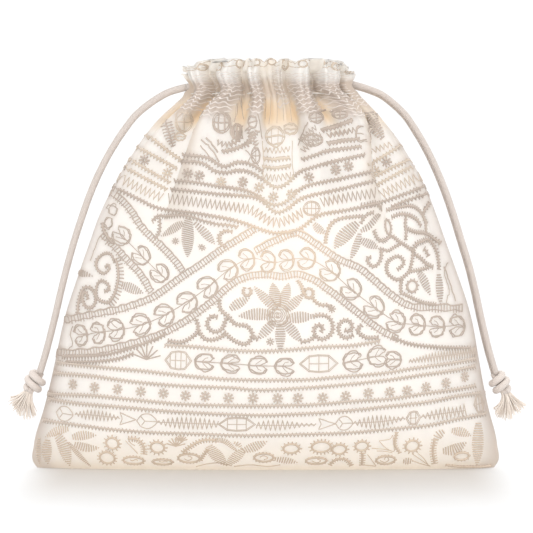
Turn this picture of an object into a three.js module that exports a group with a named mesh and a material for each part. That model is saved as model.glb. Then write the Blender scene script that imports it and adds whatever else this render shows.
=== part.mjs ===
// Drawstring pouch of embroidered cotton, standing on its flattened base.
// Millimetres, +Z up, front towards -Y, origin at the middle of the base.
import * as THREE from 'three';

// Cloth
const wallThickness = 1.25;
const seamGap = 0.3;
const seamInset = 4;
const panelColumns = 50;
const outlineSamples = 240;

// Cords, with the height at which each one runs round the channel
const cordDiameter = 3;
const cordSides = 8;
const cordSteps = 78;
const channel = { halfWidth: 36, halfDepth: 13, fullness: 0.42, lean: 1.5 };
const channelStations = [-0.66, -0.46, -0.26, -0.06, 0.14, 0.34, 0.54, 0.72, 0.88];
const leftCordHeight = 194.6;
const rightCordHeight = 198;

// Knots and frayed ends
const pieceGap = 0.3;
const knotSides = 18;
const tasselFlatness = 0.75;

// Outer sections of the pouch from the floor up. halfWidth is seen from the front and halfDepth from
// the side, fullness bends the section from a lens (1) to a box (0), lean shifts it along X, and edge is
// the share of the panel's width that is there, below 1 where the side slits let the cords out.
const sections = [
  { z: 0, halfWidth: 116.5, halfDepth: 12, fullness: 0.62, lean: 0, edge: 1 },
  { z: 2.5, halfWidth: 118.6, halfDepth: 17.5, fullness: 0.62, lean: 0, edge: 1 },
  { z: 12, halfWidth: 118.2, halfDepth: 25.5, fullness: 0.62, lean: 0, edge: 1 },
  { z: 30, halfWidth: 113.7, halfDepth: 33, fullness: 0.6, lean: 0.3, edge: 1 },
  { z: 55, halfWidth: 107.9, halfDepth: 37.5, fullness: 0.58, lean: 0.8, edge: 1 },
  { z: 80, halfWidth: 102.3, halfDepth: 38.5, fullness: 0.56, lean: 1, edge: 1 },
  { z: 104, halfWidth: 95.1, halfDepth: 37.5, fullness: 0.54, lean: 1, edge: 1 },
  { z: 128, halfWidth: 86.7, halfDepth: 34.5, fullness: 0.52, lean: 1.3, edge: 1 },
  { z: 146, halfWidth: 78.3, halfDepth: 31, fullness: 0.5, lean: 1.8, edge: 1 },
  { z: 160, halfWidth: 71.2, halfDepth: 28, fullness: 0.48, lean: 2, edge: 1 },
  { z: 171, halfWidth: 63.6, halfDepth: 25.5, fullness: 0.47, lean: 2.4, edge: 1 },
  { z: 180, halfWidth: 54.5, halfDepth: 22.8, fullness: 0.45, lean: 2.8, edge: 1 },
  { z: 186, halfWidth: 47.6, halfDepth: 20.6, fullness: 0.44, lean: 3, edge: 1 },
  { z: 190.5, halfWidth: 42.6, halfDepth: 18.4, fullness: 0.43, lean: 2.4, edge: 0.92 },
  { z: 194, halfWidth: 39.7, halfDepth: 16.6, fullness: 0.42, lean: 1.5, edge: 0.8 },
  { z: 199.5, halfWidth: 39.5, halfDepth: 16.4, fullness: 0.42, lean: 1.5, edge: 0.8 },
  { z: 204, halfWidth: 40.5, halfDepth: 17.5, fullness: 0.42, lean: 1.5, edge: 0.88 },
  { z: 209, halfWidth: 41.5, halfDepth: 18.5, fullness: 0.42, lean: 1.5, edge: 0.9 },
];

// Sections of the turned-in hem, which passes inside the cords and meets the panel above and below them
const hemSections = [
  { z: 191.2, halfWidth: 40.1, halfDepth: 16, fullness: 0.42, lean: 1.9, edge: 0.8 },
  { z: 193, halfWidth: 33.7, halfDepth: 10.7, fullness: 0.42, lean: 1.5, edge: 0.72 },
  { z: 199.8, halfWidth: 33.7, halfDepth: 10.7, fullness: 0.42, lean: 1.5, edge: 0.72 },
  { z: 202.4, halfWidth: 38.1, halfDepth: 15.1, fullness: 0.42, lean: 1.5, edge: 0.8 },
  { z: 208.6, halfWidth: 39.5, halfDepth: 16.5, fullness: 0.42, lean: 1.5, edge: 0.86 },
];

// Gathered folds: at and halfWidth are shares of the panel's half width, and height is how far the
// ridge stands out. A fold starts at the foot and has its full height from full upwards.
const frontFolds = [
  { at: -0.93, halfWidth: 0.07, height: 3, foot: 30, full: 120 },
  { at: -0.72, halfWidth: 0.14, height: 7, foot: 105, full: 186 },
  { at: -0.39, halfWidth: 0.16, height: 9.2, foot: 95, full: 186 },
  { at: -0.115, halfWidth: 0.105, height: 5.2, foot: 130, full: 188 },
  { at: 0.15, halfWidth: 0.095, height: 4, foot: 150, full: 190 },
  { at: 0.41, halfWidth: 0.16, height: 9.5, foot: 95, full: 186 },
  { at: 0.71, halfWidth: 0.13, height: 7, foot: 105, full: 186 },
  { at: 0.93, halfWidth: 0.07, height: 3, foot: 30, full: 120 },
];
const backFolds = [
  { at: -0.93, halfWidth: 0.07, height: 3, foot: 40, full: 120 },
  { at: -0.68, halfWidth: 0.14, height: 7, foot: 110, full: 188 },
  { at: -0.41, halfWidth: 0.11, height: 5.5, foot: 130, full: 188 },
  { at: -0.14, halfWidth: 0.15, height: 8.5, foot: 105, full: 188 },
  { at: 0.17, halfWidth: 0.13, height: 7.5, foot: 118, full: 188 },
  { at: 0.44, halfWidth: 0.12, height: 6, foot: 135, full: 188 },
  { at: 0.7, halfWidth: 0.13, height: 7.5, foot: 110, full: 188 },
  { at: 0.93, halfWidth: 0.07, height: 3, foot: 40, full: 120 },
];

// Free cord from the slit down to its knot. spread is half the distance between the cord's two strands.
const leftTail = [
  { x: -40.5, z: 194.9, spread: 3.4 },
  { x: -50, z: 192.6, spread: 2.5 },
  { x: -57.4, z: 189, spread: 2 },
  { x: -65, z: 183.1, spread: 1.8 },
  { x: -70.4, z: 177, spread: 1.8 },
  { x: -78.4, z: 164.7, spread: 1.8 },
  { x: -84.9, z: 152.5, spread: 1.8 },
  { x: -90.2, z: 140.3, spread: 1.8 },
  { x: -94.5, z: 128, spread: 1.8 },
  { x: -98.3, z: 115.8, spread: 1.8 },
  { x: -101.6, z: 103.5, spread: 1.8 },
  { x: -104.5, z: 91.3, spread: 1.8 },
  { x: -107.2, z: 79, spread: 1.8 },
  { x: -110.3, z: 66.8, spread: 1.8 },
  { x: -112.7, z: 58, spread: 1.8 },
  { x: -114.9, z: 51.5, spread: 1.8 },
];
const rightTail = [
  { x: 43.5, z: 197.6, spread: 3.4 },
  { x: 53, z: 194.8, spread: 2.5 },
  { x: 60.4, z: 191.2, spread: 2 },
  { x: 68.9, z: 183.1, spread: 1.8 },
  { x: 73.7, z: 177, spread: 1.8 },
  { x: 81, z: 164.7, spread: 1.8 },
  { x: 87, z: 152.5, spread: 1.8 },
  { x: 92, z: 140.3, spread: 1.8 },
  { x: 96.2, z: 128, spread: 1.8 },
  { x: 100, z: 115.8, spread: 1.8 },
  { x: 103.8, z: 103.5, spread: 1.8 },
  { x: 106.9, z: 91.3, spread: 1.8 },
  { x: 109.5, z: 79, spread: 1.8 },
  { x: 112.3, z: 66.8, spread: 1.8 },
  { x: 114.6, z: 58, spread: 1.8 },
  { x: 116.8, z: 51.5, spread: 1.8 },
];

// Half outlines of a knot and of a frayed end, turned about the line of the cord
const knotOutline = [
  { down: 0, radius: 4 },
  { down: 1, radius: 5.4 },
  { down: 3, radius: 6.2 },
  { down: 5.4, radius: 5.7 },
  { down: 7.6, radius: 6.2 },
  { down: 9.6, radius: 5.4 },
  { down: 11, radius: 4 },
];
const tasselOutline = [
  { down: 0, radius: 3.6 },
  { down: 2.5, radius: 4.2 },
  { down: 6, radius: 5.6 },
  { down: 10, radius: 7.2 },
  { down: 12.5, radius: 7 },
  { down: 14, radius: 4 },
];

function cottonMaterial(color, roughness) {
  return new THREE.MeshStandardMaterial({ color, roughness, metalness: 0 });
}

// Half of a section, from its left tip over the front (side -1) or the back (side 1) to its right tip
class SectionLine {
  constructor(section, side) {
    this.points = [];
    this.lengths = [0];
    for (let sample = 0; sample <= outlineSamples; sample++) {
      const across = -Math.cos((Math.PI * sample) / outlineSamples);
      const depth = section.halfDepth * Math.pow(Math.max(0, 1 - across * across), section.fullness);
      const x = section.lean + section.halfWidth * across;
      const point = new THREE.Vector2(x, side * (seamGap / 2 + depth));
      if (sample > 0) {
        this.lengths.push(this.lengths[sample - 1] + point.distanceTo(this.points[sample - 1]));
      }
      this.points.push(point);
    }
  }

  // Point at a share of the half line, from -1 at the left tip to 1 at the right tip
  at(share) {
    const wanted = (this.lengths[outlineSamples] * (share + 1)) / 2;
    let next = 1;
    while (next < outlineSamples && this.lengths[next] < wanted) {
      next++;
    }
    const step = this.lengths[next] - this.lengths[next - 1];
    const part = (wanted - this.lengths[next - 1]) / step;
    return this.points[next - 1].clone().lerp(this.points[next], part);
  }

  // Unit vector out of the pouch
  outward(share, side) {
    const reach = 0.01;
    const before = this.at(Math.max(-1, share - reach));
    const along = this.at(Math.min(1, share + reach)).sub(before).normalize();
    return new THREE.Vector2(-side * along.y, side * along.x);
  }
}

function foldHeight(folds, share, z) {
  let height = 0;
  for (const fold of folds) {
    const offset = (share - fold.at) / fold.halfWidth;
    if (Math.abs(offset) < 1) {
      const grown = THREE.MathUtils.smoothstep(z, fold.foot, fold.full);
      height += fold.height * grown * (1 - offset * offset) ** 2;
    }
  }
  return height;
}

// One row of cloth points across a panel, left to right on the front and right to left on the back
function clothRow(section, side, folds) {
  const line = new SectionLine(section, side);
  const row = [];
  for (let column = 0; column <= panelColumns; column++) {
    const share = -side * section.edge * ((2 * column) / panelColumns - 1);
    const out = line.outward(share, side).multiplyScalar(foldHeight(folds, share, section.z));
    const point = line.at(share).add(out);
    row.push(new THREE.Vector3(point.x, point.y, section.z));
  }
  return row;
}

// The bottom seam, which runs along X under the pouch and stops short of the rounded corners
function seamRow(side) {
  const halfLength = sections[0].halfWidth - seamInset;
  const row = [];
  for (let column = 0; column <= panelColumns; column++) {
    const share = -side * ((2 * column) / panelColumns - 1);
    row.push(new THREE.Vector3(halfLength * share, (side * seamGap) / 2, 0));
  }
  return row;
}

// Unit normals of a grid of points, outwards where its rows run up and its columns run counter-clockwise
function gridNormals(rows) {
  const lastRow = rows.length - 1;
  const lastColumn = rows[0].length - 1;
  return rows.map((row, r) => row.map((point, c) => {
    const across = row[Math.min(c + 1, lastColumn)].clone().sub(row[Math.max(c - 1, 0)]);
    const up = rows[Math.min(r + 1, lastRow)][c].clone().sub(rows[Math.max(r - 1, 0)][c]);
    return across.cross(up).normalize();
  }));
}

// Inner face of a wall, whose top, bottom seam and sewn sides stay in the planes of the outer edges
function innerFace(rows, sewnRows) {
  const normals = gridNormals(rows);
  const lastRow = rows.length - 1;
  const lastColumn = rows[0].length - 1;
  return rows.map((row, r) => row.map((point, c) => {
    const normal = normals[r][c].clone();
    if (r === lastRow) {
      normal.setZ(0).normalize();
    }
    if (r < sewnRows && (c === 0 || c === lastColumn)) {
      normal.set(Math.sign(point.x), 0, normal.z).normalize();
    }
    if (sewnRows > 0 && r === 0) {
      normal.set(0, 0, -1);
      if (c === 0 || c === lastColumn) {
        normal.setX(Math.sign(point.x));
      }
    }
    return point.clone().addScaledVector(normal, -wallThickness);
  }));
}

// Closed wall between an outer and an inner grid of points
function wallGeometry(outer, inner) {
  const rowCount = outer.length;
  const columnCount = outer[0].length;
  const points = [...outer.flat(), ...inner.flat()];
  const innerStart = rowCount * columnCount;
  const index = [];
  const number = (r, c) => r * columnCount + c;
  for (let r = 0; r < rowCount - 1; r++) {
    for (let c = 0; c < columnCount - 1; c++) {
      const lowLeft = number(r, c);
      const lowRight = number(r, c + 1);
      const highRight = number(r + 1, c + 1);
      const highLeft = number(r + 1, c);
      index.push(lowLeft, lowRight, highRight, lowLeft, highRight, highLeft);
      for (const corner of [lowLeft, highRight, lowRight, lowLeft, highLeft, highRight]) {
        index.push(innerStart + corner);
      }
    }
  }
  const border = [];
  for (let c = 0; c < columnCount - 1; c++) {
    border.push(number(0, c));
  }
  for (let r = 0; r < rowCount - 1; r++) {
    border.push(number(r, columnCount - 1));
  }
  for (let c = columnCount - 1; c > 0; c--) {
    border.push(number(rowCount - 1, c));
  }
  for (let r = rowCount - 1; r > 0; r--) {
    border.push(number(r, 0));
  }
  border.forEach((from, place) => {
    const to = border[(place + 1) % border.length];
    index.push(to, from, innerStart + from, to, innerStart + from, innerStart + to);
  });
  const geometry = new THREE.BufferGeometry().setFromPoints(points);
  geometry.setIndex(index);
  geometry.computeVertexNormals();
  return geometry;
}

function panelMesh(name, side, folds) {
  const outer = [seamRow(side), ...sections.map((section) => clothRow(section, side, folds))];
  const sewnRows = 1 + sections.filter((section) => section.edge === 1).length;
  const wall = wallGeometry(outer, innerFace(outer, sewnRows));
  const mesh = new THREE.Mesh(wall, cottonMaterial(0xf6efe6, 0.9));
  mesh.name = name;
  return mesh;
}

function hemMesh(name, side) {
  const outer = hemSections.map((section) => clothRow(section, side, []));
  const mesh = new THREE.Mesh(wallGeometry(outer, innerFace(outer, 0)), cottonMaterial(0xf3e9dc, 0.9));
  mesh.name = name;
  return mesh;
}

// Route of one cord: up its front strand, round the channel past the far tip and down its back strand
function cordRoute(tail, height, towards) {
  const strand = (side) => tail.map((stop) => new THREE.Vector3(stop.x, side * stop.spread, stop.z));
  const half = (side) => {
    const line = new SectionLine(channel, side);
    return channelStations.map((station) => {
      const point = line.at(-towards * station);
      return new THREE.Vector3(point.x, point.y, height);
    });
  };
  const tip = new THREE.Vector3(channel.lean - towards * channel.halfWidth, 0, height);
  return [...strand(-1).reverse(), ...half(-1), tip, ...half(1).reverse(), ...strand(1)];
}

function cordMesh(name, tail, height, towards) {
  const section = new THREE.Shape();
  for (let corner = 0; corner < cordSides; corner++) {
    const angle = (2 * Math.PI * corner) / cordSides;
    const x = (cordDiameter / 2) * Math.cos(angle);
    const y = (cordDiameter / 2) * Math.sin(angle);
    if (corner === 0) {
      section.moveTo(x, y);
    } else {
      section.lineTo(x, y);
    }
  }
  const extrudePath = new THREE.CatmullRomCurve3(cordRoute(tail, height, towards));
  const options = { steps: cordSteps, bevelEnabled: false, extrudePath };
  const geometry = new THREE.ExtrudeGeometry(section, options);
  const mesh = new THREE.Mesh(geometry, cottonMaterial(0xe6dacd, 0.85));
  mesh.name = name;
  return mesh;
}

// Solid turned about Z from its top at the origin downwards
function turnedMesh(name, outline, color) {
  const last = outline[outline.length - 1];
  const profile = outline.map((stop) => new THREE.Vector2(stop.radius, -stop.down));
  const closed = [new THREE.Vector2(0, -outline[0].down), ...profile, new THREE.Vector2(0, -last.down)];
  const geometry = new THREE.LatheGeometry(closed.reverse(), knotSides);
  geometry.rotateX(Math.PI / 2);
  const mesh = new THREE.Mesh(geometry, cottonMaterial(color, 0.9));
  mesh.name = name;
  return mesh;
}

// Knot and frayed end under a cord's two strands, in line with their last stretch
function cordEnd(side, tail) {
  const [before, end] = tail.slice(-2);
  const knot = turnedMesh(`knot_${side}`, knotOutline, 0xe9dfd3);
  const tassel = turnedMesh(`tassel_${side}`, tasselOutline, 0xefe6dc);
  knot.position.z = -pieceGap;
  tassel.position.z = -knotOutline[knotOutline.length - 1].down - 2 * pieceGap;
  tassel.geometry.scale(1, tasselFlatness, 1);
  const group = new THREE.Group();
  group.add(knot, tassel);
  group.position.set(end.x, 0, end.z);
  group.rotation.y = Math.atan2(before.x - end.x, before.z - end.z);
  return group;
}

const pouch = new THREE.Group();
pouch.add(panelMesh('front_panel', -1, frontFolds));
pouch.add(panelMesh('back_panel', 1, backFolds));
pouch.add(hemMesh('front_hem', -1));
pouch.add(hemMesh('back_hem', 1));
pouch.add(cordMesh('drawcord_left', leftTail, leftCordHeight, -1));
pouch.add(cordMesh('drawcord_right', rightTail, rightCordHeight, 1));
pouch.add(cordEnd('left', leftTail));
pouch.add(cordEnd('right', rightTail));

export default pouch;
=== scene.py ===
import math

import bpy
import numpy as np
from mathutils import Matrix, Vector, kdtree


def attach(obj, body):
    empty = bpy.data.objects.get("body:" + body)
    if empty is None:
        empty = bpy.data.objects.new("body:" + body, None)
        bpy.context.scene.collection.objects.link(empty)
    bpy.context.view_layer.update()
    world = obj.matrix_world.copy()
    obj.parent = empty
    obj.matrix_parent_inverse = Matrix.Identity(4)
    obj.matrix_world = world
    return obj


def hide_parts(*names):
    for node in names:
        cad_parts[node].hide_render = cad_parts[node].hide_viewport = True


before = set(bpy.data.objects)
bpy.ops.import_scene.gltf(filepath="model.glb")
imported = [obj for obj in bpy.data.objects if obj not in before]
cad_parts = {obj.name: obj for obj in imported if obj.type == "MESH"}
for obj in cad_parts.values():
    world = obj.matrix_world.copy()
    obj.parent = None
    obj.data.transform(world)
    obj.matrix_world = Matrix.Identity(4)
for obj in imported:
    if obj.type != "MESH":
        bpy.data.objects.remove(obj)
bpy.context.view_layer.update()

mm = 0.001
imageSize = 533                    # pixels along a side of the photograph

# Camera: before the pouch, looking slightly down at its front. Metres.
view = {
    "elevation": math.radians(4.0),
    "distance": 1.1,
    "target": (0.0005, 0.0, 0.1034),
    "pictureWidth": 0.27183,       # what the picture spans at the target
    "sensor": 36.0,
}


def addCamera():
    rise, reach = math.sin(view["elevation"]), math.cos(view["elevation"])
    away = Vector((0.0, -reach, rise))
    data = bpy.data.cameras.new("camera")
    data.sensor_width = view["sensor"]
    data.lens = view["sensor"] * view["distance"] / view["pictureWidth"]
    camera = bpy.data.objects.new("camera", data)
    camera.location = Vector(view["target"]) + away * view["distance"]
    camera.rotation_euler = (-away).to_track_quat("-Z", "Y").to_euler()
    bpy.context.collection.objects.link(camera)
    bpy.context.scene.camera = camera


def pictureSpot(points):
    # pixel column, pixel row and depth of points given in metres
    rise, reach = math.sin(view["elevation"]), math.cos(view["elevation"])
    offset = np.asarray(points) - np.array(view["target"])
    depth = view["distance"] + offset @ np.array((0.0, reach, -rise))
    up = offset @ np.array((0.0, rise, reach))
    scale = imageSize * view["distance"] / view["pictureWidth"] / depth
    return imageSize / 2 + offset[..., 0] * scale, imageSize / 2 - up * scale, depth


addCamera()
print("camera set")


# Node trees: a wire is a node's output, and sums of wires add Math nodes to its tree
class Wire:
    def __init__(self, bench, socket):
        self.bench = bench
        self.socket = socket

    def __add__(self, other):
        return self.bench.sum("ADD", self, other)

    def __radd__(self, other):
        return self.bench.sum("ADD", other, self)

    def __sub__(self, other):
        return self.bench.sum("SUBTRACT", self, other)

    def __rsub__(self, other):
        return self.bench.sum("SUBTRACT", other, self)

    def __mul__(self, other):
        return self.bench.sum("MULTIPLY", self, other)

    def __rmul__(self, other):
        return self.bench.sum("MULTIPLY", other, self)


class NodeBench:
    def __init__(self, tree):
        self.tree = tree

    def node(self, kind, settings=None, sockets=None, output=0):
        node = self.tree.nodes.new(kind)
        for key, value in (settings or {}).items():
            setattr(node, key, value)
        for key, value in (sockets or {}).items():
            socket = node.inputs[key] if isinstance(key, int) else self.openSocket(node, key)
            if isinstance(value, Wire):
                self.tree.links.new(value.socket, socket)
            else:
                socket.default_value = value
        outputs = [socket for socket in node.outputs if socket.enabled]
        return Wire(self, outputs[output]) if outputs else node

    def openSocket(self, node, name):
        return next(socket for socket in node.inputs if socket.name == name and socket.enabled)

    def sum(self, operation, first, second):
        return self.node("ShaderNodeMath", {"operation": operation}, {0: first, 1: second})


def newMaterial(name):
    material = bpy.data.materials.new(name)
    material.use_nodes = True
    material.node_tree.nodes.clear()
    return material, NodeBench(material.node_tree)


def mixColors(bench, share, first, second):
    return bench.node("ShaderNodeMix", {"data_type": "RGBA"}, {"Factor": share, "A": first, "B": second})


def axisOf(bench, vector, axis):
    return bench.node("ShaderNodeSeparateXYZ", {}, {"Vector": vector}, axis)


def objectPlace(bench):
    return bench.node("ShaderNodeTexCoord", {}, {}, 3)


def sine(bench, value):
    return bench.node("ShaderNodeMath", {"operation": "SINE"}, {0: value})


def noise(bench, place, scale, detail=2.0):
    return bench.node("ShaderNodeTexNoise", {}, {"Vector": place, "Scale": scale, "Detail": detail})


def smoothStep(bench, value, low, high, first=0.0, last=1.0):
    return bench.node("ShaderNodeMapRange", {"interpolation_type": "SMOOTHSTEP"},
                      {"Value": value, "From Min": low, "From Max": high, "To Min": first, "To Max": last})


def bumped(bench, finish, height):
    return bench.node("ShaderNodeBump", {}, {"Strength": finish["bump"], "Distance": finish["bumpDepth"],
                                             "Height": height})


def cottonShader(bench, finish, color, bump):
    return bench.node("ShaderNodeBsdfPrincipled", {}, {
        "Base Color": color, "Roughness": finish["roughness"], "Normal": bump,
        "Sheen Weight": finish["sheen"]})


def closeMaterial(bench, shader):
    bench.node("ShaderNodeOutputMaterial", {}, {"Surface": shader})


# Finishes: a light and a dark tone mixed by noise, whose scales count its patches along a metre
clothFinish = {
    "light": (0.975, 0.972, 0.965, 1.0),
    "dark": (0.95, 0.945, 0.935, 1.0),
    "gatheredAndShaded": (0.515, 0.425, 0.36, 1.0),   # where layers lie on each other, and painted shade on the folds, the neck, the cord channel and the side seams
    "hollow": (0.88, 0.75, 0.595, 1.0),      # painted golden glow between the folds and along the base, standing in for light coming through the cloth
    "through": (1.0, 0.995, 0.985, 1.0),     # light seen through the cotton
    # the light through the cloth is painted golden in the same places
    "throughHollow": (0.93, 0.80, 0.61, 1.0),
    "throughShare": 0.84,
    "throughGatheredAndShaded": 0.1,
    "yarnPitch": 0.00055,
    "clouds": 90.0,
    "slubs": 900.0,
    "bump": 0.25,
    "bumpDepth": 0.0002,
    "roughness": 0.9,
    "sheen": 0.15,
}
plainThread = {
    "patches": 60.0,
    "grain": 2200.0,
    "bump": 0.4,
    "bumpDepth": 0.0001,
    "roughness": 0.55,
    "sheen": 0.15,
}
threadFinish = {
    **plainThread,
    "light": (0.525, 0.44, 0.375, 1.0),
    "dark": (0.40, 0.325, 0.275, 1.0),
    "paintedGlow": (0.70, 0.56, 0.43, 1.0),    # painted warm glow in the middle of the front, where most light comes through
    "paintedGlowPlace": (0.008, -0.036, 0.114),
    "paintedGlowReach": (0.012, 0.046),
    "paintedGlowShare": 0.75,
}
# lighter copies of the same thread: painted light on the threads in the hollows, the lower rows and the
# border
hollowFinish = {**plainThread, "light": (0.66, 0.56, 0.46, 1.0), "dark": (0.52, 0.43, 0.345, 1.0)}
lowFinish = {**plainThread, "light": (0.62, 0.53, 0.455, 1.0), "dark": (0.49, 0.41, 0.345, 1.0)}
borderFinish = {**plainThread, "light": (0.69, 0.57, 0.455, 1.0), "dark": (0.54, 0.44, 0.35, 1.0)}
# a much lighter copy of the thread for the neck's rows: painted highlights on them
neckHighlightFinish = {
    **plainThread,
    "light": (0.85, 0.785, 0.74, 1.0),
    "dark": (0.74, 0.67, 0.62, 1.0),
    "grain": 1500.0,
    "roughness": 0.45,
    "sheen": 0.3,
}
yarnFinish = {
    **plainThread,
    "light": (0.84, 0.765, 0.69, 1.0),
    "dark": (0.67, 0.585, 0.51, 1.0),
    "grain": 3000.0,
    "roughness": 0.85,
    "sheen": 0.3,
}
cordFinish = {
    "light": (0.63, 0.565, 0.52, 1.0),
    "dark": (0.47, 0.405, 0.36, 1.0),
    "yarnsAround": 12,
    "yarnSlant": 900.0,
    "grain": 2600.0,
    "bump": 0.5,
    "bumpDepth": 0.00015,
    "roughness": 0.8,
    "sheen": 0.3,
}
# a lighter copy of the cord for the knots: painted light
knotFinish = {**cordFinish, "light": (0.71, 0.64, 0.59, 1.0), "dark": (0.56, 0.49, 0.44, 1.0)}


def clothMaterial(name, finish):
    material, bench = newMaterial(name)
    place = bench.node("ShaderNodeUVMap", {"uv_map": "cloth"})
    turns = 2 * math.pi / finish["yarnPitch"]
    warp = sine(bench, axisOf(bench, place, 0) * turns)
    weft = sine(bench, axisOf(bench, place, 1) * turns)
    weave = warp * weft * 0.5 + 0.5
    cloud = noise(bench, place, finish["clouds"], 3.0)
    slub = noise(bench, place, finish["slubs"])
    # share where layers lie on each other and where shade is painted: it darkens the base colour and lets
    # less light through
    gatheredAndShaded = bench.node("ShaderNodeAttribute", {"attribute_name": "gatheredAndShaded"}, {}, 2)
    hollow = bench.node("ShaderNodeAttribute", {"attribute_name": "hollow"}, {}, 2)
    # the weave makes the colour a little darker where it dips: painted shade, besides the bump
    plain = mixColors(bench, cloud * 0.7 + weave * 0.3, finish["dark"], finish["light"])
    shadedPlain = mixColors(bench, gatheredAndShaded, plain, finish["gatheredAndShaded"])
    # painted golden glow: the hollow share turns the base colour golden
    color = mixColors(bench, hollow, shadedPlain, finish["hollow"])
    bump = bumped(bench, finish, weave * 0.7 + slub * 0.3)
    front = cottonShader(bench, finish, color, bump)
    # painted golden glow: the hollow share turns the light through the cloth golden too
    white, gold = [bench.node("ShaderNodeBsdfTranslucent", {}, {"Color": finish[tone], "Normal": bump})
                   for tone in ("through", "throughHollow")]
    through = bench.node("ShaderNodeMixShader", {}, {0: hollow, 1: white, 2: gold})
    thin, thick = finish["throughShare"], finish["throughGatheredAndShaded"]
    share = gatheredAndShaded * (thick - thin) + thin
    closeMaterial(bench, bench.node("ShaderNodeMixShader", {}, {0: share, 1: front, 2: through}))
    return material


def threadMaterial(name, finish):
    material, bench = newMaterial(name)
    place = objectPlace(bench)
    patch = noise(bench, place, finish["patches"])
    fibre = noise(bench, place, finish["grain"], 3.0)
    color = mixColors(bench, patch * 0.6 + fibre * 0.4, finish["dark"], finish["light"])
    # painted warm glow on the threads near the middle of the front
    if "paintedGlow" in finish:
        away = bench.node("ShaderNodeVectorMath", {"operation": "DISTANCE"},
                          {0: place, 1: finish["paintedGlowPlace"]})
        share = smoothStep(bench, away, *finish["paintedGlowReach"], finish["paintedGlowShare"], 0.0)
        color = mixColors(bench, share, color, finish["paintedGlow"])
    closeMaterial(bench, cottonShader(bench, finish, color, bumped(bench, finish, fibre)))
    return material


def cordMaterial(name, finish):
    material, bench = newMaterial(name)
    place = bench.node("ShaderNodeUVMap", {"uv_map": "cord"})
    around = axisOf(bench, place, 0) * (2 * math.pi * finish["yarnsAround"])
    plies = sine(bench, around + axisOf(bench, place, 1) * finish["yarnSlant"])
    fibre = noise(bench, objectPlace(bench), finish["grain"], 3.0)
    # the colour is a little darker in the grooves between the plies: painted shade, besides the bump
    color = mixColors(bench, plies * 0.2 + fibre * 0.6 + 0.2, finish["dark"], finish["light"])
    bump = bumped(bench, finish, plies * 0.5 + fibre)
    closeMaterial(bench, cottonShader(bench, finish, color, bump))
    return material


clothCotton = clothMaterial("embroidered cotton ground", clothFinish)
stitchThread = threadMaterial("embroidery thread", threadFinish)
hollowThread = threadMaterial("lit thread", hollowFinish)
lowThread = threadMaterial("thread of the lower rows", lowFinish)
borderThread = threadMaterial("thread of the border", borderFinish)
neckHighlightThread = threadMaterial("gathered thread", neckHighlightFinish)
frayedYarn = threadMaterial("frayed cotton yarn", yarnFinish)
cordCotton = cordMaterial("soft cotton cord", cordFinish)
knotCotton = cordMaterial("knotted cotton cord", knotFinish)
print("finishes made")


# Lines and meshes
def runAlong(points):
    # length of a line up to each of its points
    return np.concatenate(([0.0], np.cumsum(np.linalg.norm(np.diff(points, axis=0), axis=1))))


def unit(vectors):
    return vectors / np.maximum(np.linalg.norm(vectors, axis=-1), 1e-9)[..., None]


def evenSteps(points, spacing):
    run = runAlong(points)
    count = max(1, int(round(run[-1] / spacing)))
    stops = np.linspace(0.0, run[-1], count + 1)
    return np.stack([np.interp(stops, run, column) for column in points.T], axis=1)


def smoothPath(points, spacing):
    # Catmull-Rom curve through the points, cut into even steps
    points = np.asarray(points, dtype=float)
    ends = [2 * points[0] - points[1]], [2 * points[-1] - points[-2]]
    knots = np.concatenate((ends[0], points, ends[1]))
    t = np.linspace(0.0, 1.0, 16, endpoint=False)[:, None]
    stretches = []
    for a, b, c, d in zip(knots, knots[1:], knots[2:], knots[3:]):
        bend = (2 * a - 5 * b + 4 * c - d) * t ** 2 + (3 * b - a - 3 * c + d) * t ** 3
        stretches.append(0.5 * (2 * b + (c - a) * t + bend))
    return evenSteps(np.concatenate(stretches + [points[-1:]]), spacing)


def smoothColumn(places, values, at):
    # cubic curve through a table's column
    places, values = np.asarray(places, dtype=float), np.asarray(values, dtype=float)
    slopes = np.gradient(values, places)
    at = np.clip(at, places[0], places[-1])
    cell = np.clip(np.searchsorted(places, at, side="right") - 1, 0, len(places) - 2)
    width = places[cell + 1] - places[cell]
    t = (at - places[cell]) / width
    rise = (1 + 2 * t) * (1 - t) ** 2 * values[cell] + t * t * (3 - 2 * t) * values[cell + 1]
    return rise + width * (t * (1 - t) ** 2 * slopes[cell] - t * t * (1 - t) * slopes[cell + 1])


def blendGrid(grid, row, column):
    # values between the rows and columns of a grid of numbers or points
    r = np.minimum(row.astype(int), grid.shape[0] - 2)
    c = np.minimum(column.astype(int), grid.shape[1] - 2)
    deep = (1,) * (grid.ndim - 2)
    fr, fc = (row - r).reshape(row.shape + deep), (column - c).reshape(column.shape + deep)
    low = grid[r, c] * (1 - fc) + grid[r, c + 1] * fc
    high = grid[r + 1, c] * (1 - fc) + grid[r + 1, c + 1] * fc
    return low * (1 - fr) + high * fr


def ramp(at, low, high):
    t = np.clip((at - low) / (high - low), 0.0, 1.0)
    return t * t * (3 - 2 * t)


def meshObject(name, points, faces, material):
    mesh = bpy.data.meshes.new(name)
    mesh.from_pydata([tuple(point) for point in points], [], faces)
    mesh.materials.append(material)
    mesh.polygons.foreach_set("use_smooth", [True] * len(mesh.polygons))
    mesh.update()
    piece = bpy.data.objects.new(name, mesh)
    bpy.context.collection.objects.link(piece)
    return piece


def setUv(piece, name, cornerPlaces):
    layer = piece.data.uv_layers.new(name=name)
    layer.data.foreach_set("uv", np.asarray(cornerPlaces, dtype=float).ravel())


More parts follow.
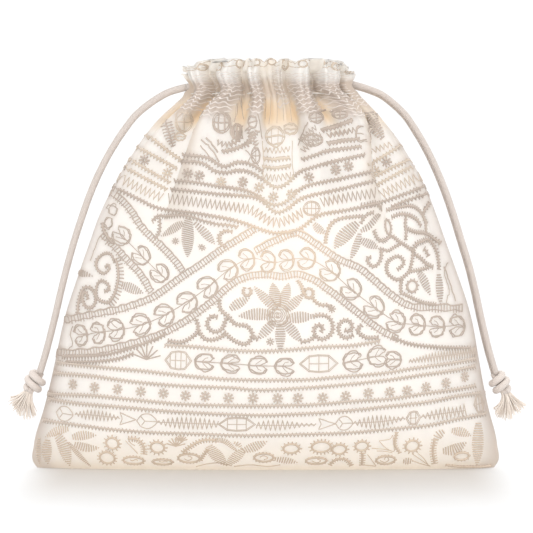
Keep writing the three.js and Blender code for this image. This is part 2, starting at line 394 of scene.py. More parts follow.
# Cords: the two strands of a tail hang from each side slit to a shared knot. Metres.
cordSize = {
    "diameter": 0.003,
    "lobes": 12,
    "lobeSteps": 4,
    "groove": 0.07,
    "step": 0.0013,
    "twist": 9.0,                  # turns a metre
    "spread": (0.0034, 0.0025, 0.0020, 0.0018),   # half the strands' distance at the first points and after
    "aside": 0.0004,               # the strands lie slightly beside each other
    "leftHeight": 0.1946,
    "rightHeight": 0.198,
}
channel = {"halfWidth": 31.0, "halfDepth": 8.8, "fullness": 0.42, "lean": 1.5}   # millimetres
channelStations = (-0.66, -0.46, -0.26, -0.06, 0.14, 0.34, 0.54, 0.72, 0.88)   # shares across it
leftTail = [   # x, z
    (-0.0400, 0.1946), (-0.0485, 0.1922), (-0.0556, 0.1884), (-0.0634, 0.1826), (-0.0690, 0.1766),
    (-0.0772, 0.1647), (-0.0839, 0.1525), (-0.0893, 0.1403), (-0.0937, 0.1280), (-0.0977, 0.1158),
    (-0.1012, 0.1035), (-0.1043, 0.0913), (-0.1072, 0.0790), (-0.1103, 0.0668), (-0.1127, 0.0580),
    (-0.1156, 0.0487),
]
rightTail = [
    (0.0425, 0.1962), (0.0520, 0.1934), (0.0600, 0.1898), (0.0686, 0.1826), (0.0735, 0.1766),
    (0.0808, 0.1647), (0.0868, 0.1525), (0.0918, 0.1403), (0.0960, 0.1280), (0.0998, 0.1158),
    (0.1036, 0.1035), (0.1067, 0.0913), (0.1094, 0.0790), (0.1123, 0.0668), (0.1146, 0.0580),
    (0.1175, 0.0484),
]


def sectionLine(halfWidth, halfDepth, fullness, lean, side, samples=240):
    across = -np.cos(np.linspace(0.0, math.pi, samples + 1))
    depth = halfDepth * np.maximum(0.0, 1 - across ** 2) ** fullness
    return np.stack((lean + halfWidth * across, side * depth), axis=1)


def shareOf(line):
    run = runAlong(line)
    return 2 * run / run[-1] - 1


def tailStrand(tail, side):
    line = np.array([(x, 0.0, z) for x, z in tail])
    ahead = unit(np.gradient(line, axis=0))
    beside = np.stack((ahead[:, 2], 0 * ahead[:, 0], -ahead[:, 0]), axis=1)
    spread = cordSize["spread"]
    spread = spread + spread[-1:] * (len(tail) - len(spread))
    apart = np.array([(0.0, half, 0.0) for half in spread])
    return [tuple(point) for point in line + side * (apart + cordSize["aside"] * beside)]


def channelRun(tail, height, towards):
    # the cord inside the channel, from its front strand round the far tip to its back strand
    halves = []
    wanted = -towards * np.array(channelStations)
    for side in (-1, 1):
        line = sectionLine(**channel, side=side)
        x, y = [np.interp(wanted, shareOf(line), column) * mm for column in line.T]
        halves.append([(px, py, height) for px, py in zip(x, y)])
    tip = ((channel["lean"] - towards * channel["halfWidth"]) * mm, 0.0, height)
    first, last = tailStrand(tail, -1)[0], tailStrand(tail, 1)[0]
    return [first] + halves[0] + [tip] + halves[1][::-1] + [last]


def pathFrames(path):
    # two steady directions across the path
    along = unit(np.gradient(path, axis=0))
    side = np.cross(along[0], (0.0, 1.0, 0.0))
    if np.linalg.norm(side) < 0.1:
        side = np.cross(along[0], (1.0, 0.0, 0.0))
    sides = []
    for tangent in along:
        side = unit(side - tangent * (side @ tangent))
        sides.append(side)
    sides = np.array(sides)
    return sides, np.cross(along, sides)


def cordTube(path, diameter, twist):
    # ribbed round cord along a path: points, faces and the corners' places around and along it
    around = cordSize["lobes"] * cordSize["lobeSteps"]
    rings = len(path)
    run = runAlong(path)
    angle = np.linspace(0.0, 2 * math.pi, around, endpoint=False)
    ribs = 1 - cordSize["groove"] * (0.5 + 0.5 * np.cos(cordSize["lobes"] * angle))
    radius = 0.5 * diameter * ribs
    side, up = pathFrames(path)
    turned = angle[None, :] + 2 * math.pi * twist * run[:, None]
    points = (path[:, None, :] + (radius * np.cos(turned))[..., None] * side[:, None, :]
              + (radius * np.sin(turned))[..., None] * up[:, None, :]).reshape(-1, 3)
    faces, places = [], []
    for ring in range(rings - 1):
        for step in range(around):
            after = (step + 1) % around
            faces.append((ring * around + step, ring * around + after,
                          (ring + 1) * around + after, (ring + 1) * around + step))
            left, right = step / around, (step + 1) / around
            low, high = run[ring], run[ring + 1]
            places += [(left, low), (right, low), (right, high), (left, high)]
    for ring, centre, turn in ((0, len(points), -1), (rings - 1, len(points) + 1, 1)):
        points = np.concatenate((points, path[ring][None, :]))
        for step in range(around):
            pair = (ring * around + step, ring * around + (step + 1) % around)[::turn]
            faces.append((centre, pair[0], pair[1]))
            places += [(0.5, run[ring])] * 3
    return points, faces, places


def cordPiece(name, tubes, material):
    points, faces, places = np.zeros((0, 3)), [], []
    for tubePoints, tubeFaces, tubePlaces in tubes:
        first = len(points)
        points = np.concatenate((points, tubePoints))
        faces += [tuple(first + corner for corner in face) for face in tubeFaces]
        places += tubePlaces
    piece = meshObject(name, points, faces, material)
    setUv(piece, "cord", places)
    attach(piece, "root")
    return piece


tailPaths = {}
tailPieces = {}
for cordSide, tail, height, towards in (("left", leftTail, cordSize["leftHeight"], -1),
                                        ("right", rightTail, cordSize["rightHeight"], 1)):
    run = smoothPath(channelRun(tail, height, towards), cordSize["step"])
    tube = cordTube(run, cordSize["diameter"], cordSize["twist"])
    loop = cordPiece(f"channel_cord_{cordSide}", [tube], cordCotton)
    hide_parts(f"drawcord_{cordSide}")
    for strandName, side in (("front", -1), ("back", 1)):
        name = f"tail_{cordSide}_{strandName}"
        tailPaths[name] = smoothPath(tailStrand(tail, side), cordSize["step"])
        tube = cordTube(tailPaths[name], cordSize["diameter"], cordSize["twist"])
        tailPieces[name] = cordPiece(name, [tube], cordCotton)
        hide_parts(f"drawcord_{cordSide}")
print("cords made")


# Knots: the tail coiled around itself on a leaning axis. Metres.
knotSize = {
    "left": {"top": (-0.1153, 0.0, 0.0492), "foot": (-0.1213, 0.0, 0.0392), "hand": 1, "start": 2.2},
    "right": {"top": (0.1171, 0.0, 0.0488), "foot": (0.1230, 0.0, 0.0384), "hand": -1, "start": 0.9},
    "radius": 0.0037,
    "strand": 0.0037,
    "core": 0.0046,
    "turns": 2.35,
    "coilStart": 0.13,             # shares of the core's length
    "coilLength": 0.8,
    "coilStep": 0.0007,
    "coilTwist": 25.0,             # turns a metre
}


def knotAxes(knot):
    top, foot = np.array(knot["top"]), np.array(knot["foot"])
    axis = unit(foot - top)
    return top, foot, axis, np.array((-axis[2], 0.0, axis[0])), np.array((0.0, 1.0, 0.0))


def knotCoil(knot):
    top, foot, axis, aside, depth = knotAxes(knot)
    t = np.linspace(0.0, 1.0, 90)
    tucked = (0.45 + 0.55 * ramp(t, 0.0, 0.12)) * (1 - 0.55 * ramp(t, 0.72, 1.0))   # slimmer ends
    radius = knotSize["radius"] * tucked
    angle = knot["start"] + knot["hand"] * 2 * math.pi * knotSize["turns"] * t
    along = np.linalg.norm(foot - top) * (knotSize["coilStart"] + knotSize["coilLength"] * t)
    return (top + along[:, None] * axis + (radius * np.cos(angle))[:, None] * aside
            + (radius * np.sin(angle))[:, None] * depth)


for cordSide in ("left", "right"):
    knot = knotSize[cordSide]
    core = evenSteps(np.array((knot["top"], knot["foot"])), cordSize["step"])
    coil = evenSteps(knotCoil(knot), knotSize["coilStep"])
    tubes = [cordTube(core, knotSize["core"], cordSize["twist"]),
             cordTube(coil, knotSize["strand"], knotSize["coilTwist"])]
    cordPiece(f"tail_knot_{cordSide}", tubes, knotCotton)
    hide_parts(f"knot_{cordSide}")
print("knots tied")


# Cloth: each panel follows the frame's sections and folds, with finer gathers. Millimetres.
sectionTable = [   # z, halfWidth, halfDepth, fullness, lean, edge
    (0, 117.2, 8, 0.62, 0, 1), (2.5, 119, 13, 0.62, 0, 1), (12, 118.8, 23.5, 0.62, 0, 1),
    (30, 114, 33, 0.6, 0.3, 1), (55, 108.1, 37.5, 0.58, 0.8, 1), (80, 101.8, 38.5, 0.56, 1, 1),
    (104, 93, 37.5, 0.54, 1, 1), (117, 87.9, 36, 0.53, 1, 1), (128, 83.8, 34, 0.52, 1, 1),
    (146, 75.8, 30, 0.5, 1.6, 1), (160, 67.8, 26, 0.48, 1.9, 1), (171, 60.2, 22, 0.47, 2.3, 1),
    (180, 52, 18, 0.45, 2.6, 1), (186, 45.2, 15, 0.44, 2.8, 1), (190.5, 40.6, 13.4, 0.43, 2.6, 0.95),
    (194, 39.4, 12.6, 0.42, 1.6, 0.9), (199.5, 41.3, 12.8, 0.42, 0.6, 0.9),
    (202, 41, 13.6, 0.42, 0.3, 0.92), (206, 39.6, 14.6, 0.42, 0.8, 0.92), (212, 38, 15.5, 0.42, 1, 0.93),
]
# folds: share across at neck and foot, half width at each, rise, height of foot and full rise, overhang
frontFolds = [
    (-0.93, -0.93, 0.07, 0.07, 3, 30, 120, 0), (-0.73, -0.8, 0.11, 0.12, 7, 110, 186, -0.2),
    (-0.42, -0.34, 0.135, 0.205, 12, 98, 176, -0.5), (-0.145, -0.09, 0.08, 0.1, 8.5, 130, 186, 0.1),
    (0.12, 0.1, 0.06, 0.06, 3, 168, 192, 0), (0.355, 0.3, 0.125, 0.12, 11.5, 140, 186, -0.2),
    (0.645, 0.47, 0.145, 0.16, 11, 98, 176, 0.5), (0.87, 0.8, 0.075, 0.12, 4.5, 110, 186, 0.2),
    (0.95, 0.95, 0.06, 0.06, 3, 30, 120, 0),
]
backFolds = [
    (-0.93, -0.93, 0.07, 0.07, 3, 40, 120, 0), (-0.68, -0.62, 0.13, 0.18, 9, 105, 184, -0.2),
    (-0.4, -0.34, 0.11, 0.15, 8, 125, 186, 0), (-0.13, -0.1, 0.13, 0.18, 10.5, 100, 184, -0.2),
    (0.17, 0.15, 0.12, 0.16, 9.5, 112, 184, 0.2), (0.45, 0.42, 0.12, 0.16, 8, 125, 186, 0),
    (0.71, 0.7, 0.12, 0.16, 9, 105, 184, 0.2), (0.93, 0.93, 0.07, 0.07, 3, 40, 120, 0),
]
sagTable = [   # height at the side seams, drop of the lower rows to the middle, share of the upper rows' drop
    (0, 0, 0), (12, 2.4, 0), (27, 3.9, 0), (46, 3.8, 0), (56, 4.4, 0), (80, 5, 0), (95, 5, 0.02),
    (108, 4.4, 0.2), (126, 1.6, 0.72), (142, 0, 1), (158, 0, 1), (168, 0, 0.98), (178, 0, 0.8),
    (186, 0, 0.4), (193, 0, 0), (212, 0, 0),
]
rowDrop = [   # share across, drop of the upper rows there
    (-1, 0), (-0.93, 1), (-0.87, 2.9), (-0.7, 7.9), (-0.58, 12.2), (-0.53, 13.2), (-0.48, 12.7),
    (-0.38, 13.2), (-0.29, 15.3), (-0.2, 14.6), (-0.12, 16.4), (-0.045, 18), (0, 21), (0.035, 23),
    (0.09, 22.6), (0.14, 19.5), (0.2, 14.8), (0.26, 12.6), (0.37, 10.4), (0.48, 8.2), (0.555, 7.1),
    (0.585, 9.4), (0.62, 9.4), (0.7, 7), (0.83, 3), (0.93, 1), (1, 0),
]
hemStops = [   # height, inset from the smooth wall, share of the folds kept
    (207.6, 0.7, 1.0), (206.4, 0.9, 1.0), (204.8, 0.9, 1.0), (203.5, 0.9, 0.95), (202.4, 1.6, 0.8),
    (201.2, 3.4, 0.5), (199.8, 5.2, 0.25), (197, 5.6, 0.2), (194.5, 5.6, 0.2), (193, 4.6, 0.3),
    (191.8, 2.4, 0.6), (190.9, 1.0, 0.9),
]
cloth = {
    "columns": 220,
    "baseRows": 6,
    "footRows": (0.0, 0.25, 0.7, 1.4, 2.4, 3.6, 5.0, 6.6),
    "bodyFoot": 8.2,
    "bodyStep": 1.9,
    "neckFoot": 140.0,
    "neckStep": 0.9,
    "headingFoot": 200.5,
    "headingFull": 207.0,
    "top": 207.8,
    "wallTop": 211.9,
    "seamInset": 4.0,
    "halfGap": 0.01,               # between a panel's edge and the middle of the bag
    "hemShare": 0.97,              # the hem ends before the side seams
    "stitchEdge": 0.997,           # share across that the stitches stay within
    "shareRows": 106,              # cells of the table of places across the sections
    "shareSteps": 400,
    "gathers": 30,
    "gatherSpan": 0.97,
    "gatherHalfWidth": (0.016, 0.036),
    "gatherHeight": (0.6, 1.9),
    "gatherFoot": (156, 182),
    "gatherFull": (189, 195),
    "foldRound": 2.8,              # 2 for pointed folds, more for tubes
    "foldSlope": 1.25,
    "foldLean": (150.0, 192.0),    # heights between which a fold moves from its foot's place to the neck's
    "overhangEnd": (186, 194),
    "crumple": 0.35,
    "crumpleFoot": (8, 40),
    "petals": 1.5,                 # waves of the heading
    "petalTurns": (16, 27, 41),
    "lobes": 22.0,                 # scallops of its edge
    "ruffle": 2.4,
    "endDrop": 4.6,                # lower heading at the side seams
    "seed": 7,
    "thickness": 0.00035,          # metres, as the next two
    "flat": (0.240, 0.257),
    "weaveHalf": 0.118,
}
shade = {   # shares of painted shade and of painted golden glow on the cloth, and the heights or shares across that they grow between
    "fullRise": 8.0,
    "heading": 0.85, "headingRows": (195.0, 200.0),
    "channel": 0.95, "channelRows": (184.0, 192.0),
    "neck": 0.3, "neckFolds": 0.65, "neckRows": (173.0, 187.0),
    "foldEdge": 0.62, "foldTop": 0.12, "foldRows": (140.0, 172.0),
    "side": 0.22, "sideFades": 0.14, "sideRows": (120.0, 160.0), "sideReach": (0.6, 0.86),
    "seam": 0.7, "seamReach": (0.86, 1.0),
    "hem": 0.1,
    "goldRows": (170.0, 181.0), "goldLess": 0.6, "goldEdge": 0.2,
    "goldFoot": 0.12, "footRows": (8.0, 24.0), "goldBase": 0.16, "baseRows": (1.0, 6.0),
    "stitched": 0.25, "stitchedReach": (0.3, 2.2), "stitchedFoot": (18.0, 45.0),
    "stitchedTop": (185.0, 195.0),
}


def sectionShape(z):
    columns = list(zip(*sectionTable))
    return [smoothColumn(columns[0], column, z) for column in columns[1:]]


class ClothPanel:
    # one panel as a grid of points and outward normals, which the embroidery is laid on
    def __init__(self, side, folds, seed):
        self.side = side
        self.folds = folds
        draw = np.random.default_rng(seed)
        count, span = cloth["gathers"], cloth["gatherSpan"]
        places = -span + 2 * span * (np.arange(count) + draw.uniform(0.1, 0.9, count)) / count
        widths = draw.uniform(*cloth["gatherHalfWidth"], count)
        self.gathers = np.stack((
            places, places, widths, widths, draw.uniform(*cloth["gatherHeight"], count),
            draw.uniform(*cloth["gatherFoot"], count), draw.uniform(*cloth["gatherFull"], count),
            np.zeros(count)), axis=1)
        self.phases = draw.uniform(0.0, 2 * math.pi, 9)[::2]
        self.baseHalfWidth, self.baseDepth = sectionTable[0][1:3]
        self.prepareShares()
        self.heights = self.rowHeights()
        self.shares = np.linspace(-1.0, 1.0, cloth["columns"] + 1)
        rows = [self.row(height) for height in self.heights]
        self.points, self.swell, self.flank = [np.stack(grid) for grid in zip(*rows)]
        across, up = np.gradient(self.points, axis=1), np.gradient(self.points, axis=0)
        self.normals = unit(np.cross(across, up) * -self.side)
        self.halfLengths = np.linalg.norm(np.diff(self.points, axis=1), axis=2).sum(axis=1) / 2

    def prepareShares(self):
        # where along a section a share of its length lies, for a ladder of heights
        self.ladder = np.linspace(0.0, sectionTable[-1][0], cloth["shareRows"] + 1)
        shares = np.linspace(-1.0, 1.0, cloth["shareSteps"] + 1)
        rows = []
        for halfWidth, halfDepth, fullness, lean, edge in zip(*sectionShape(self.ladder)):
            line = sectionLine(1.0, halfDepth / halfWidth, fullness, 0.0, self.side)
            rows.append(np.interp(shares, shareOf(line), line[:, 0]))
        self.acrossTable = np.array(rows)

    def across(self, share, z):
        least = 0.001   # share of a cell that is kept off the table's far edges
        row = np.clip(z / self.ladder[1], 0, cloth["shareRows"] - least)
        column = np.clip((share + 1) / 2 * cloth["shareSteps"], 0, cloth["shareSteps"] - least)
        return blendGrid(self.acrossTable, row, column)

    def smoothWall(self, share, z):
        halfWidth, halfDepth, fullness, lean, edge = sectionShape(z)
        across = self.across(share, z)
        depth = cloth["halfGap"] + halfDepth * np.maximum(0.0, 1 - across ** 2) ** fullness
        return np.stack((lean + halfWidth * across, self.side * depth, z), axis=-1)

    def ridge(self, share, z):
        # rise of the folds, how far they hang over sideways and how near a place is to such an edge
        height, over, flank = np.zeros((3, *np.shape(share)))
        leanFoot, leanTop = cloth["foldLean"]
        for neck, low, neckHalf, lowHalf, rise, foot, full, overhang in [*self.folds, *self.gathers]:
            up = ramp(z, max(foot, leanFoot), leanTop)
            half = lowHalf + (neckHalf - lowHalf) * up
            offset = np.clip((share - low - (neck - low) * up) / half, -1.0, 1.0)
            risen = ramp(z, foot, full)
            fold = rise * (1 - np.abs(offset) ** cloth["foldRound"]) ** cloth["foldSlope"] * risen
            height += fold
            over += overhang * fold
            edge = ramp(offset * np.sign(overhang), -0.1, 0.5) * (np.abs(offset) < 1)
            flank = np.maximum(flank, edge * risen * abs(overhang) * 2)
        heading = ramp(z, cloth["headingFoot"], cloth["headingFull"])
        slow = sum(np.sin(turn * share + phase) for turn, phase in zip(cloth["petalTurns"], self.phases))
        crumple = np.sin(11 * share + z / 17 + self.phases[3]) * np.sin(z / 23 - 5 * share)
        height = height * (1 - 0.25 * heading) + cloth["petals"] * slow * heading
        height = height + cloth["crumple"] * crumple * ramp(z, *cloth["crumpleFoot"])
        return height, over * (1 - ramp(z, *cloth["overhangEnd"])), flank

    def scallop(self, share, top):
        # the heading's edge: round lobes that hang lower towards the side seams
        lobe = np.abs(np.sin(cloth["lobes"] * share + 0.9 * np.sin(7 * share + self.phases[4]))) ** 0.6
        ends = ramp(np.abs(share), 0.6, 0.9) + 0.45 * ramp(np.abs(share), 0.8, 0.92)
        return top * (cloth["ruffle"] * (lobe - 0.7) - cloth["endDrop"] * ends)

    def row(self, height):
        # points of a row, the folds' rise along it and its nearness to their edges
        share, flat = self.shares, np.zeros_like(self.shares)
        if height < 0:     # flat base, from the seam out to the base's edge
            edge = self.smoothWall(share, flat)
            out = 1 + height / self.baseDepth
            seamX = (self.baseHalfWidth - cloth["seamInset"]) * share
            seam = np.stack((seamX, flat + self.side * cloth["halfGap"], flat), axis=-1)
            return seam * (1 - out) + edge * out, flat, flat
        sag = list(zip(*sagTable))
        low = smoothColumn(sag[0], sag[1], height) * (1 - np.abs(share) ** 3)
        upper = smoothColumn(sag[0], sag[2], height) * smoothColumn(*zip(*rowDrop), share)
        z = height - low - upper
        share = share * np.clip(sectionShape(z)[4], 0.0, 1.0)
        ridge, over, flank = self.ridge(share, z)
        z = z + self.scallop(share, ramp(height, cloth["headingFoot"], cloth["top"]))
        z = np.minimum(z, cloth["wallTop"])
        point = self.smoothWall(share, z)
        reach = 0.01
        before = self.smoothWall(np.maximum(share - reach, -1.0), z)
        after = self.smoothWall(np.minimum(share + reach, 1.0), z)
        x, y = unit((after - before)[:, :2]).T
        out = np.stack((-self.side * y, self.side * x, flat), axis=-1)
        along = np.stack((x, y, flat), axis=-1)
        return point + out * ridge[:, None] + along * over[:, None], ridge, flank

    def rowHeights(self):
        base = np.linspace(-self.baseDepth, 0.0, cloth["baseRows"] + 1)[:-1]
        body = np.arange(cloth["bodyFoot"], cloth["neckFoot"], cloth["bodyStep"])
        neck = np.arange(cloth["neckFoot"], cloth["top"] + 0.01, cloth["neckStep"])
        return np.concatenate((base, cloth["footRows"], body, neck))

    def lay(self, places):
        # chart places (along the row, height, lift) in millimetres to points in metres
        along, height, lift = places.T
        row = np.interp(height, self.heights, np.arange(len(self.heights)))
        share = -self.side * along / np.interp(height, self.heights, self.halfLengths)
        share = np.clip(share, -cloth["stitchEdge"], cloth["stitchEdge"])
        column = (share + 1) / 2 * cloth["columns"]
        normal = unit(blendGrid(self.normals, row, column))
        return (blendGrid(self.points, row, column) + normal * lift[:, None]) * mm


def hemRows(panel):
    # the turned-in edge: down inside the ruffle, round the inside of the cords and back to the wall
    rows = []
    for height, inset, kept in hemStops:
        z = np.full_like(panel.shares, height)
        share = panel.shares * np.clip(sectionShape(z)[4], 0.0, 1.0) * cloth["hemShare"]
        z = z + panel.scallop(share, ramp(z, cloth["headingFoot"], cloth["top"]))
        point = panel.smoothWall(share, z)
        outward = unit(np.stack((point[:, 0] - channel["lean"], point[:, 1], 0 * z), axis=-1))
        rows.append(point - outward * (inset - kept * panel.ridge(share, z)[0])[:, None])
    return np.stack(rows)


def paintLayersShadeAndGlow(piece, panel, hemCount):
    # how many layers lie there, with painted shade on the folds, the neck, the cord channel and the side
    # seams, and how golden the light comes through, as a painted glow
    z = panel.points[..., 2]
    raised = np.clip(panel.swell / shade["fullRise"], 0.0, 1.0)
    sides = np.abs(panel.shares)[None, :]
    heading = 1 - shade["heading"] * ramp(z, *shade["headingRows"])
    # painted shade on the cord's channel, which also holds more layers, and on the neck, more on its raised
    # folds
    inChannel = ramp(z, *shade["channelRows"]) * heading
    neck = ramp(z, *shade["neckRows"]) * (shade["neck"] + shade["neckFolds"] * raised)
    # painted shade along the folds' overhanging edges and on their tops
    turned = shade["foldEdge"] * panel.flank + shade["foldTop"] * raised * ramp(z, *shade["foldRows"])
    gatheredAndShaded = np.maximum(np.maximum(neck, turned) * heading, shade["channel"] * inChannel)
    # painted shade towards the side seams, where the cloth turns away, besides the seams' own layers
    side = shade["side"] - shade["sideFades"] * ramp(z, *shade["sideRows"])
    ends = side * ramp(sides, *shade["sideReach"]) + shade["seam"] * ramp(sides, *shade["seamReach"])
    gatheredAndShaded = np.clip(gatheredAndShaded + ends * heading, 0.0, 1.0)
    # painted golden glow between the folds, along their edges, at the foot and along the base
    between = ramp(z, *shade["goldRows"]) * (1 - raised) * (1 - shade["goldLess"] * inChannel)
    edges = shade["goldEdge"] * panel.flank * (1 - inChannel)
    foot = shade["goldFoot"] * (1 - ramp(z, *shade["footRows"]))
    base = shade["goldBase"] * (1 - ramp(z, *shade["baseRows"]))
    hollow = np.maximum(np.maximum(between, edges) * heading, foot + base)
    for name, values in (("gatheredAndShaded", gatheredAndShaded), ("hollow", hollow)):
        values = np.concatenate((values, np.full((hemCount, values.shape[1]), shade["hem"])))
        piece.data.attributes.new(name, "FLOAT", "POINT").data.foreach_set("value", values.ravel())


def panelSheet(panel, name, nodes):
    grid = np.concatenate((panel.points, hemRows(panel)))
    rows, columns = grid.shape[:2]
    turn = -panel.side
    faces, places = [], []
    step = np.linalg.norm(np.diff(grid, axis=0), axis=2).mean(axis=1)
    run = np.concatenate(([0.0], np.cumsum(step)))
    for r in range(rows - 1):
        for c in range(columns - 1):
            corners = ((r, c), (r, c + 1), (r + 1, c + 1), (r + 1, c))[::turn]
            faces.append(tuple(i * columns + j for i, j in corners))
            places += [(cloth["weaveHalf"] * (2 * j / (columns - 1) - 1), run[i] * mm) for i, j in corners]
    piece = meshObject(name, grid.reshape(-1, 3) * mm, faces, clothCotton)
    setUv(piece, "cloth", places)
    paintLayersShadeAndGlow(piece, panel, rows - len(panel.heights))
    wall = piece.modifiers.new("thickness", "SOLIDIFY")
    wall.thickness = cloth["thickness"]
    wall.offset = -1.0
    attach(piece, "root")
    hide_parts(*nodes)
    return piece


def shadeNearStitches(piece, panel, charts):
    # the cotton is denser close to the stitches, and shade is painted around them by darkening the base
    # colour there
    places = np.concatenate([chart.stitchedPlaces() for chart in charts])
    stitched = kdtree.KDTree(len(places))
    for index, (along, height) in enumerate(places):
        stitched.insert((along, height, 0.0), index)
    stitched.balance()
    count = panel.points.shape[0] * panel.points.shape[1]
    along = -panel.side * panel.shares[None, :] * panel.halfLengths[:, None]
    rise = np.broadcast_to(panel.heights[:, None], along.shape)
    gaps = np.array([stitched.find((x, z, 0.0))[2] for x, z in zip(along.ravel(), rise.ravel())])
    layer = piece.data.attributes["gatheredAndShaded"].data
    values = np.empty(len(layer))
    layer.foreach_get("value", values)
    near = 1 - ramp(gaps, *shade["stitchedReach"])
    body = ramp(rise, *shade["stitchedFoot"]) * (1 - ramp(rise, *shade["stitchedTop"]))
    values[:count] += shade["stitched"] * near * body.ravel()
    layer.foreach_set("value", np.clip(values, 0.0, 1.0))


frontPanel = ClothPanel(-1, frontFolds, cloth["seed"])
backPanel = ClothPanel(1, backFolds, cloth["seed"] + 1)
frontCloth = panelSheet(frontPanel, "front_cloth", ("front_panel", "front_hem"))
backCloth = panelSheet(backPanel, "back_cloth", ("back_panel", "back_hem"))
print("cloth panels made")


# Embroidery: drawn flat in millimetres along and up the cloth, then laid on the panels
stitch = {
    "threadRadius": 0.32,
    "threadSides": 5,
    "barRadius": 0.34,
    "barSides": 4,
    "barRise": 0.3,
    "lift": 0.14,                  # off the cloth
    "finePitch": 1.2,              # leaflets
    "teethPitch": 1.55,            # along scrolls and rings
    "satinPitch": 1.0,             # solid leaves
    "zigzagCut": 1.2,
    "rowHalfWidth": 1.2,           # zigzag rows with a line through them
    "rowPeriod": 1.9,
    "rowLine": 0.35,               # how far that line lies off the middle
    "starRadius": 2.7,
    "smallStarRadius": 2.025,
    "headingSpan": 0.98,           # share across
    "waver": 0.24,                 # of the level lines
}
seenStitch = {   # sizes of what is drawn as it is seen, in pixels
    "rowHalfWidth": 2.3,
    "rowPeriod": 3.7,
    "rowLine": -0.7,
    "ropeReach": 3.7,
    "ropeTeeth": 1.6,
    "rungs": 3.0,
    "starRadius": 5.2,
    "leafDouble": 1.6,
    "zigzagStep": 1.0,             # steps along the lines
    "rowStep": 2.0,
    "lineStep": 3.0,
    "hollowStep": 4.0,
    "depthWeight": 6.0,            # for a metre of depth, so that the nearer of two layers is found
}
threadWeight = {   # thickness of each thread as a share of threadRadius
    "rowPoints": 1.1, "rowLine": 1.5,
    "zigzag": 0.8, "wavyZigzag": 0.85, "wavyLine": 0.7,
    "ropeRail": 1.2, "ropeLine": 0.85, "ropeRungs": 0.95,
    "leaf": 1.1, "leafInner": 0.9, "leafVein": 0.6, "vine": 0.7,
    "bandLeaf": 0.9, "bandVein": 0.8, "bow": 0.9,
    "lattice": 0.75, "latticeBars": 0.8, "oval": 0.7,
    "star": 1.6, "smallStar": 1.0, "seenStar": 1.5,
    "fernStem": 0.9, "leaflets": 1.1, "sideStem": 2.4,
    "scroll": 2.0, "ring": 1.9, "flower": 0.75, "spray": 1.1,
    "foldLine": 0.8, "hollowLine": 0.7, "edgeLine": 0.7, "borderLine": 0.7,
    "heading": 0.6, "neck": 0.5,
}


def pathNormals(path):
    along = unit(np.gradient(path, axis=0))
    return np.stack((-along[:, 1], along[:, 0]), axis=1)


def ovalLine(along, up, steps):
    t = np.linspace(0.0, 2 * math.pi, steps + 1)
    return np.stack((along * np.cos(t), up * np.sin(t)), axis=1)


def rays(angles, length):
    return [np.array((math.cos(angle), math.sin(angle))) * length for angle in angles]


def beside(path, amount):
    return path + pathNormals(path) * np.reshape(amount, (-1, 1))


def zigzagLine(path, halfWidth, period, cut):
    # halfWidth may change from the start of the path to its end
    steps = evenSteps(path, period / 2)
    shares, known = np.linspace(0, 1, len(steps)), np.linspace(0, 1, np.size(halfWidth))
    width = np.interp(shares, known, np.ravel(halfWidth))
    turns = beside(steps, width * np.where(np.arange(len(steps)) % 2, 1.0, -1.0))
    cuts = max(1, int(round(2 * width.max() / cut)))
    cutShares = np.linspace(0.0, 1.0, cuts, endpoint=False)[:, None]
    line = [a + (b - a) * cutShares for a, b in zip(turns, turns[1:])]
    return np.concatenate(line + [turns[-1:]])


class SeenCloth:
    # finds the place on a panel that is seen at a pixel of the photograph
    def __init__(self, panel):
        first = np.searchsorted(panel.heights, 0.0)
        px, py, depth = pictureSpot(panel.points[first:] * mm)
        self.pixels = np.stack((px, py), axis=-1).reshape(-1, 2)
        along = panel.shares[None, :] * panel.halfLengths[first:, None]
        rise = np.repeat(panel.heights[first:, None], len(panel.shares), axis=1)
        self.places = np.stack((along, rise), axis=-1).reshape(-1, 2)
        self.nearest = kdtree.KDTree(len(self.pixels))
        for index, (pixel, far) in enumerate(zip(self.pixels, depth.ravel())):
            self.nearest.insert((*pixel, seenStitch["depthWeight"] * far), index)
        self.nearest.balance()

    def spot(self, px, py):
        # place along the row and height, between the nearest points of the cloth
        near = [index for place, index, gap in self.nearest.find_n((px, py, 0.0), 4)]
        weight = 1 / (((self.pixels[near] - (px, py)) ** 2).sum(axis=1) + 0.05)
        return (self.places[near] * weight[:, None]).sum(axis=0) / weight.sum()


